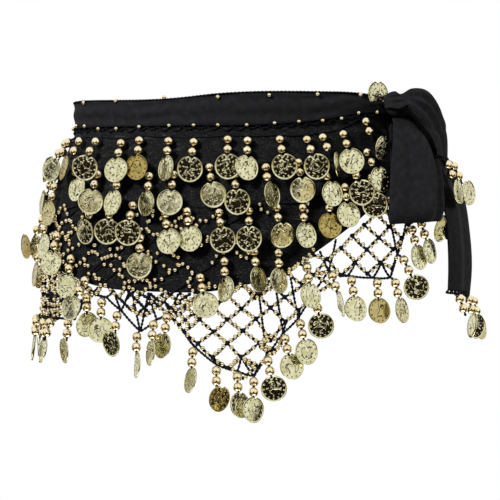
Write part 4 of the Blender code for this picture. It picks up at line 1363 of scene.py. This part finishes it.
def chain_paths(drops, out_at, margin):
    """The crochet chain that a row's drops hang on, with a little slack between them."""
    roots = [(drop.along, drop.height) for drop in sorted(drops, key=lambda drop: drop.along)]
    ends = [(roots[0][0] - margin, roots[0][1]), *roots, (roots[-1][0] + margin, roots[-1][1])]
    return [on_path(start, stop, out_at, sag=CHAIN_SAG) for start, stop in zip(ends, ends[1:])]


def hang_every_drop():
    """Hangs the drops in the order that the solids do, so that each lies where its solid is."""
    chance = random.Random(SEED)
    hung = []
    groups = {"net_fringe": hang_all(NET_EDGE, hung, BORDER_BASE)}
    for name, rows in (("row_4", ROW_4), ("row_3", ROW_3), ("row_2", ROW_2), ("row_1", ROW_1)):
        if name in BACK_ROWS:
            rows = across_back(BACK_ROWS[name], chance) + rows
        groups[name] = hang_all(rows, hung)
    return groups


def tail_drops(table, drops):
    """Hangs the drops of a tail's end, where its solids are."""
    end = table[-1]
    half = BOW_WALL / 2 + CHAIN_DEPTH / 2
    rows = []
    for degrees, sway, turn in drops:
        share = (degrees - end[0]) / (end[3] - end[0])
        height = end[1] + (end[4] - end[1]) * share - CHAIN_RISE - TAIL_SEAM
        rows.append((along_at(degrees), height, sway, turn))
    return hang_all(rows, [], (end[2] + end[5]) / 2 - half)


def carry(pieces, slots):
    """Puts pieces on the one body; their slots are not used."""
    for piece, slot in zip(pieces, slots):
        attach(piece, "root")


def dress_drops(name, node, drops, cords, kit, thickness=FINE_CORD):
    """Coins, beads and cords of one group of drops, which stand for its solid."""
    chance = random.Random(name)
    coins, beads = drop_places(node, drops, chance)
    made = [set_pieces(name + "_coins", coins, "coins", kit),
            set_pieces(name + "_beads", beads, "beads", kit),
            crochet(name + "_cords", cords + drop_threads(drops), thickness, kit)]
    carry(made, ("gold", "gold", "cord"))
    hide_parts(node)


def net_layout():
    """The net's two halves of diamonds, and the place of every knot in it."""
    cells = net_cells(NET_EDGE)
    notch = (NET_NOTCH - MIDDLE) / NET_HALF_WIDE
    front = largest_body({cell for cell in cells if cell[0] > notch})
    side = largest_body({cell for cell in cells if cell[0] <= notch})
    turns = np.linspace(angle_at(CLOTH_ENDS[0]), angle_at(CLOTH_ENDS[1]), COLUMNS + 1)
    columns = [float(np.interp(turn, TAPE_ANGLES, TAPE_LENGTHS)) for turn in turns]
    hem_places = columns, [read(HEM, along) for along in columns]
    whole = front | side
    chance = random.Random(SEED)
    knots = {}
    for corner in sorted({corner for cell in whole for corner in corners_of(cell)}):
        along, height = net_corner(corner, whole, NET_EDGE, hem_places)
        stray = chance.uniform(-NET_STRAY, NET_STRAY), chance.uniform(-NET_STRAY, NET_STRAY)
        knots[corner] = (along + stray[0], height + stray[1])
    return front, side, knots


def sides_of(cells):
    """Each side of the diamonds once, as a pair of corners."""
    sides = set()
    for cell in cells:
        corners = corners_of(cell)
        for k in range(4):
            sides.add(tuple(sorted((corners[k], corners[(k + 1) % 4]))))
    return sorted(sides)


def make_net(name, node, cells, knots, kit):
    """Beaded crochet net: two strands on every side, a lump at every knot, and seed beads."""
    chance = random.Random(name)
    paths = []
    seeds = []
    for first, second in sides_of(cells):
        start, stop = knots[first], knots[second]
        slack = chance.uniform(*NET_SLACK)
        for strand in (-NET_STRAND, NET_STRAND):
            paths.append(on_path(start, stop, lambda along, height: NET_CORD_OUT,
                                 sag=slack + strand, step=3.0))
        if math.hypot(stop[0] - start[0], stop[1] - start[1]) > ROOM_FOR_SEEDS * SEED_RADIUS:
            shares = MORE_BEADS if chance.random() < SHARE_MORE_BEADS else NET_BEADS
            seeds += seeds_on(start, stop, shares, lambda along, height: NET_BEAD_OUT, chance)
    used = sorted({corner for cell in cells for corner in corners_of(cell)})
    lumps = [(*facing(*knots[corner], NET_CORD_OUT, UP), 0, chance.random())
             for corner in used]
    cords = crochet(name + "_cords", paths, NET_CORD, kit)
    beads = set_pieces(name + "_seed_beads", seeds, "seeds", kit)
    ties = set_pieces(name + "_knots", lumps, "lumps", kit)
    carry((cords, beads, ties), ("cord", "gold", "cord"))
    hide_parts(node)


def border_links(drops, knots):
    """Slings that tie each drop of the border up to the nearest knots of the net, or to the hem."""
    lowest = {}
    for along, height in knots.values():
        key = round(along / NET_HALF_WIDE * 2)
        if key not in lowest or height < lowest[key][1]:
            lowest[key] = (along, height)
    holds = sorted(lowest.values())
    paths = []
    for drop in drops:
        root = (drop.along, drop.height)
        for side in (-1, 1):
            near = [hold for hold in holds
                    if 0 <= side * (hold[0] - root[0]) < LINK_REACH and hold[1] > root[1]]
            if near:
                hold = min(near, key=lambda place: (abs(place[0] - root[0])
                                                    + LINK_RISE_COST * (place[1] - root[1])))
            else:
                aside = root[0] + side * LINK_ASIDE
                hold = (aside, read(HEM, aside) - LINK_UNDER_HEM)
            if hold[1] - root[1] < LINK_LONGEST:
                paths.append(on_path(hold, root, lambda along, height: NET_CORD_OUT + LINK_LIFT,
                                     sag=1.0, step=3.0))
    return paths


def bunched_strands(cells, chance):
    """More crochet, across the cells of the net that hangs bunched under the hem."""
    strands = []
    for cell in sorted(cells):
        corners = [(MIDDLE + across * NET_HALF_WIDE + chance.uniform(-OVER_STRAY, OVER_STRAY),
                    -down * NET_HALF_HIGH + chance.uniform(-OVER_STRAY, OVER_STRAY))
                   for across, down in corners_of(cell)]
        middle = sum(along for along, height in corners) / 4, sum(height for along, height in corners) / 4
        if BUNCHED_FROM < middle[0] < BUNCHED_TO and middle[1] < read(HEM, middle[0]):
            middles = [((first[0] + second[0]) / 2, (first[1] + second[1]) / 2)
                       for first, second in zip(corners, corners[1:] + corners[:1])]
            strands += [(middles[0], middles[2]), (middles[1], middles[3])]
    return strands


def make_over_net(taken, kit):
    """The net over the panel and under the hem between its two halves, and its bunched crochet."""
    chance = random.Random(SEED)

    def cord_out(along, height):
        return crease_out(along, height) + OVER_CORD_OUT if height > read(HEM, along) else NET_CORD_OUT

    def bead_out(along, height):
        return crease_out(along, height) + OVER_BEAD_OUT if height > read(HEM, along) else NET_BEAD_OUT

    every = set()
    first_across, last_across = [int((end - MIDDLE) / NET_HALF_WIDE) for end in (OVER_LEFT, OVER_RIGHT)]
    for across in range(first_across, last_across):
        along = MIDDLE + across * NET_HALF_WIDE
        for down in range(int(-OVER_TOP / NET_HALF_HIGH) + 1, OVER_ROWS):
            height = -down * NET_HALF_HIGH
            inside = height > straight(NET_EDGE, along) + OVER_OVER_EDGE * NET_HALF_HIGH
            if (across + down) % 2 == 1 and inside:
                every.add((across, down))
    cells = every - set(taken)
    strayed = {}
    for corner in sorted({corner for cell in cells for corner in corners_of(cell)}):
        strayed[corner] = (MIDDLE + corner[0] * NET_HALF_WIDE + chance.uniform(-OVER_STRAY, OVER_STRAY),
                           -corner[1] * NET_HALF_HIGH + chance.uniform(-OVER_STRAY, OVER_STRAY))
    paths = []
    low_paths = []
    seeds = []
    for first, second in sides_of(cells):
        start, stop = strayed[first], strayed[second]
        fade = (OVER_THIN_TO - start[0]) / (OVER_THIN_TO - OVER_THIN_FROM)
        share = min(max(fade, OVER_LEAST), 1.0)
        below = min(start[1], stop[1]) < read(HEM, start[0])
        if below or chance.random() < share:
            (low_paths if below else paths).append(on_path(start, stop, cord_out))
            if chance.random() < OVER_BEADED:
                shares = OVER_BEADS if chance.random() < OVER_BEADED else NET_BEADS
                stray = SEED_STRAY if below else OVER_SEED_STRAY
                seeds += seeds_on(start, stop, shares, bead_out, chance, stray)
    for start, stop in bunched_strands(every, chance):
        low_paths.append(on_path(start, stop, cord_out))
        if chance.random() < BUNCHED_BEADED:
            seeds += seeds_on(start, stop, BUNCHED_BEADS, bead_out, chance)
    cords = crochet("net_over_panel_cords", paths, FINE_CORD, kit)
    low_cords = crochet("net_under_hem_cords", low_paths, LOW_CORD, kit)
    beads = set_pieces("net_over_panel_seed_beads", seeds, "seeds", kit)
    carry((cords, low_cords, beads), ("cord", "cord", "gold"))


def spaced(table, edge, spacing):
    """A row of seed beads: those seen, and like ones along the hidden part of the same edge."""
    places = list(table)
    along = BACK_SEEDS_FROM
    while along < BACK_SEEDS_TO:
        places.append((along, read(edge, along)))
        along += spacing
    return places


def make_band_trim(kit):
    """Crochet edging along the band's two edges, with its seed beads."""
    chance = random.Random(SEED)
    paths = []
    for edge, drop in ((BAND_TOP, -0.4), (BAND_FOOT, 0.2)):
        turns = np.arange(CLOTH_ENDS[0] + EDGING_MARGIN, CLOTH_ENDS[1] - EDGING_MARGIN, EDGING_STEP)
        line = [(along, read(edge, along) + drop) for along in turns]
        paths.append([on_hips(along, height, BAND_OUT + EDGING_OUT) for along, height in line])
    along = CLOTH_ENDS[0] + SCALLOP_MARGIN
    while along + SCALLOP < CLOTH_ENDS[1] - SCALLOP_MARGIN:
        ends = [(place, read(BAND_FOOT, place) - SCALLOP_DROP) for place in (along, along + SCALLOP)]
        sag = chance.uniform(*SCALLOP_SAG)
        paths.append(on_path(*ends, lambda a, h: crease_out(a, h) + SCALLOP_OUT, sag=sag, step=2.0))
        along += SCALLOP
    seeds = []
    for table, edge, spacing in ((BAND_TOP_SEEDS, BAND_TOP, TOP_SEED_SPACING),
                                 (BAND_FOOT_SEEDS, BAND_FOOT, FOOT_SEED_SPACING)):
        for along, height in spaced(table, edge, spacing):
            seeds.append((*facing(along, height, BAND_SEED_OUT, UP), 0, chance.random()))
    cords = crochet("band_edging", paths, EDGE_CORD, kit)
    beads = set_pieces("band_seed_beads", seeds, "seeds", kit)
    carry((cords, beads), ("cord", "gold"))


def tail_end_cords(table, drops):
    """The crocheted end of a tail: loops from its cut edge down to the chain of drops."""
    end = table[-1]
    chain_out = (end[2] + end[5]) / 2 - BOW_WALL / 2
    hung = [(math.degrees(angle_at(drop.along)), drop.height) for drop in drops]
    roots = [(end[0], end[1] - TAIL_CHAIN_DROP), *hung, (end[3], end[4] - TAIL_CHAIN_DROP)]
    paths = [[by_angle(degrees, height, chain_out) for degrees, height in roots]]
    for k in range(TAIL_END_LOOPS):
        share = (k + 0.5) / TAIL_END_LOOPS
        degrees = end[0] + (end[3] - end[0]) * share
        height = end[1] + (end[4] - end[1]) * share
        edge_out = end[2] + (end[5] - end[2]) * share - BOW_WALL / 2
        lean = TAIL_END_LEAN if k % 2 else -TAIL_END_LEAN
        foot = straight(roots, degrees + lean)
        paths.append([by_angle(degrees, height + TAIL_END_OVERLAP, edge_out),
                      by_angle(degrees + lean, foot, chain_out)])
    return paths


def tucked_coin(kit):
    """The coin that lies on the band beside the knot."""
    along, height = COIN_BESIDE_KNOT
    out = BAND_OUT + SEAM + COIN_WALL / 2 + chord_lift(along, COIN_RADIUS)
    point, aside, up = facing(along, height, out, UP)
    piece = set_pieces("tucked_coin_stamped", [(point, aside, up, 1, 0.4)], "coins", kit)
    carry([piece], ["gold"])
    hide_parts("tucked_coin")


def set_camera():
    """The camera, at the photograph's own angle."""
    camera = put("camera", bpy.data.cameras.new("camera"))
    camera.location = [size * MM for size in CAMERA_AT]
    camera.rotation_euler = (math.radians(90), 0.0, 0.0)
    camera.data.lens = CAMERA_LENS
    camera.data.clip_end = 100.0
    bpy.context.scene.camera = camera


def add_softbox(name, place, size, power):
    """A square softbox that models the cloth. The metal mirrors the tent instead."""
    light = bpy.data.lights.new(name, "AREA")
    light.size = size
    light.energy = power
    lamp = put(name, light)
    lamp.location = place
    lamp.visible_glossy = False
    lamp.rotation_euler = (Vector(LIGHT_AIM) - Vector(place)).to_track_quat("-Z", "Y").to_euler()


def light_tent():
    """A white tent with four dark gaps for the metal to mirror. The camera itself sees plain white."""
    world = bpy.data.worlds.new("white tent")
    world.use_nodes = True
    bpy.context.scene.world = world
    tree = world.node_tree
    way = add_node(tree, "ShaderNodeTexCoord").outputs["Generated"]
    parts = add_node(tree, "ShaderNodeSeparateXYZ", {}, {"Vector": way}).outputs
    # Each gap is a triangle with its point at the top, in front, behind and at both sides
    across = add_node(tree, "ShaderNodeMath", {"operation": "ABSOLUTE"}, {0: parts["X"]}).outputs["Value"]
    along = add_node(tree, "ShaderNodeMath", {"operation": "ABSOLUTE"}, {0: parts["Y"]}).outputs["Value"]
    aside = add_node(tree, "ShaderNodeMath", {"operation": "MINIMUM"}, {0: across, 1: along})
    slope = add_node(tree, "ShaderNodeMath", {"operation": "MULTIPLY_ADD"}, {0: parts["Z"], 1: -0.8, 2: 0.24})
    inside = add_node(tree, "ShaderNodeMath", {"operation": "SUBTRACT"},
                      {0: slope.outputs["Value"], 1: aside.outputs["Value"]})
    sides = add_node(tree, "ShaderNodeMapRange", {"interpolation_type": "SMOOTHSTEP"},
                     {"Value": inside.outputs["Value"], "From Min": -0.03, "From Max": 0.05})
    foot = add_node(tree, "ShaderNodeMapRange", {"interpolation_type": "SMOOTHSTEP"},
                    {"Value": parts["Z"], "From Min": -0.68, "From Max": -0.56})
    gap = add_node(tree, "ShaderNodeMath", {"operation": "MULTIPLY"},
                   {0: sides.outputs["Result"], 1: foot.outputs["Result"]})
    # The tent is warmer and darker near the floor
    rise = add_node(tree, "ShaderNodeMapRange", {}, {"Value": parts["Z"], "From Min": -1.0, "From Max": 1.0})
    cloth = colour_steps(tree, rise.outputs["Result"],
                         ((0.25, "#9C8355"), (0.42, "#E4D5AE"), (0.52, "#FFFFFF")))
    tent = add_node(tree, "ShaderNodeMix", {"data_type": "RGBA"},
                    {"Factor": gap.outputs["Value"], 6: cloth, 7: from_hex("#1E1812")})
    glow = add_node(tree, "ShaderNodeBackground", {}, {"Color": tent.outputs[2], "Strength": 1.0})
    backdrop = add_node(tree, "ShaderNodeBackground", {}, {"Color": from_hex("#FFFFFF"), "Strength": 1.0})
    seen = add_node(tree, "ShaderNodeLightPath").outputs["Is Camera Ray"]
    both = add_node(tree, "ShaderNodeMixShader", {}, {
        0: seen, 1: glow.outputs["Background"], 2: backdrop.outputs["Background"]})
    tree.links.new(both.outputs["Shader"], tree.nodes["World Output"].inputs["Surface"])


def lay_floor():
    """A round pale floor far below, so that it lights the work and is seen only from above."""
    mesh = bpy.data.meshes.new("floor")
    bm = bmesh.new()
    bmesh.ops.create_circle(bm, cap_ends=True, segments=64, radius=FLOOR_RADIUS * MM)
    bmesh.ops.translate(bm, verts=bm.verts, vec=(0, 0, FLOOR_LEVEL * MM))
    bm.to_mesh(mesh)
    bm.free()
    paper = new_material("white paper sweep", {"Roughness": 0.9, "Base Color": from_hex("#F4F4F2")})[0]
    mesh.materials.append(paper)
    put("floor", mesh)


def make_kit():
    """Blanks, node trees and finishes that the small pieces share."""
    coins = [coin_blank(f"coin_{k}", bend, turn, SEED + k) for k, (bend, turn) in enumerate(COIN_BENDS)]
    bead = bead_blank("bead", BEAD_RADIUS, BEAD_FLAT, BEAD_TURNS, BEAD_RINGS)
    seed = bead_blank("seed", SEED_RADIUS, SEED_FLAT, SEED_TURNS, SEED_RINGS)
    lump = bead_blank("lump", KNOT_SIZE, 1.0, LUMP_TURNS, LUMP_RINGS)
    return {
        "coins": blank_collection("coin_blanks", coins),
        "beads": blank_collection("bead_blanks", [bead]),
        "seeds": blank_collection("seed_blanks", [seed]),
        "lumps": blank_collection("lump_blanks", [lump]),
        "placing": placing_tree(), "crochet": crochet_tree(),
        "coin": stamped_coin(), "bead": gilt_bead(), "yarn": crochet_yarn(),
    }


def dress_cloth(velvet, sheer):
    """The panel, the band, the tie and its knot, each in place of its solid."""
    panel, panel_area = make_panel(velvet)
    band, band_area = make_band(sheer)
    loop, loop_flat, loop_area = make_bow_strip("bow_loop", LOOP, LOOP_FOLDS, BOW_SHELL, sheer)
    short, short_flat, short_area = make_bow_strip("bow_short_tail", SHORT_TAIL, SHORT_TAIL_FOLDS, BOW_SHELL,
                                                   sheer, OVER_KNOT)
    long, long_flat, long_area = make_bow_strip("bow_long_tail", LONG_TAIL, LONG_TAIL_FOLDS, BOW_SHELL, sheer)
    knot = make_knot(sheer)
    nodes = ((panel, "panel", "velvet"), (band, "waistband", "chiffon"), (loop, "loop", "chiffon"),
             (short, "short_tail", "chiffon"), (long, "long_tail", "chiffon"), (knot, "knot", "chiffon"))
    for piece, node, slot in nodes:
        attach(piece, "root")
        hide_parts(node)


def main():
    bpy.context.scene.view_settings.view_transform = "Standard"
    set_camera()
    light_tent()
    for softbox in SOFTBOXES:
        add_softbox(*softbox)
    lay_floor()
    kit = make_kit()
    dress_cloth(crushed_velvet(), chiffon())
    groups = hang_every_drop()
    front, side, knots = net_layout()
    for name in ("row_1", "row_2", "row_3", "row_4"):
        cords = chain_paths(groups[name], lambda a, h: crease_out(a, h) + OVER_CORD_OUT, ROW_MARGIN)
        dress_drops(name, name, groups[name], cords, kit)
    border = groups["net_fringe"]
    cords = chain_paths(border, lambda along, height: NET_CORD_OUT + BORDER_LIFT, BORDER_MARGIN)
    cords += border_links(border, knots)
    dress_drops("border", "net_fringe", border, cords, kit, LINK_CORD)
    make_net("front_net", "net_front", front, knots, kit)
    make_net("side_net", "net_side", side, knots, kit)
    make_over_net(front | side, kit)
    make_band_trim(kit)
    for name, table, drops in (("short_tail_end", SHORT_TAIL, SHORT_TAIL_DROPS),
                               ("long_tail_end", LONG_TAIL, LONG_TAIL_DROPS)):
        hung = tail_drops(table, drops)
        dress_drops(name, name.replace("end", "fringe"), hung, tail_end_cords(table, hung), kit, LINK_CORD)
    tucked_coin(kit)


main()
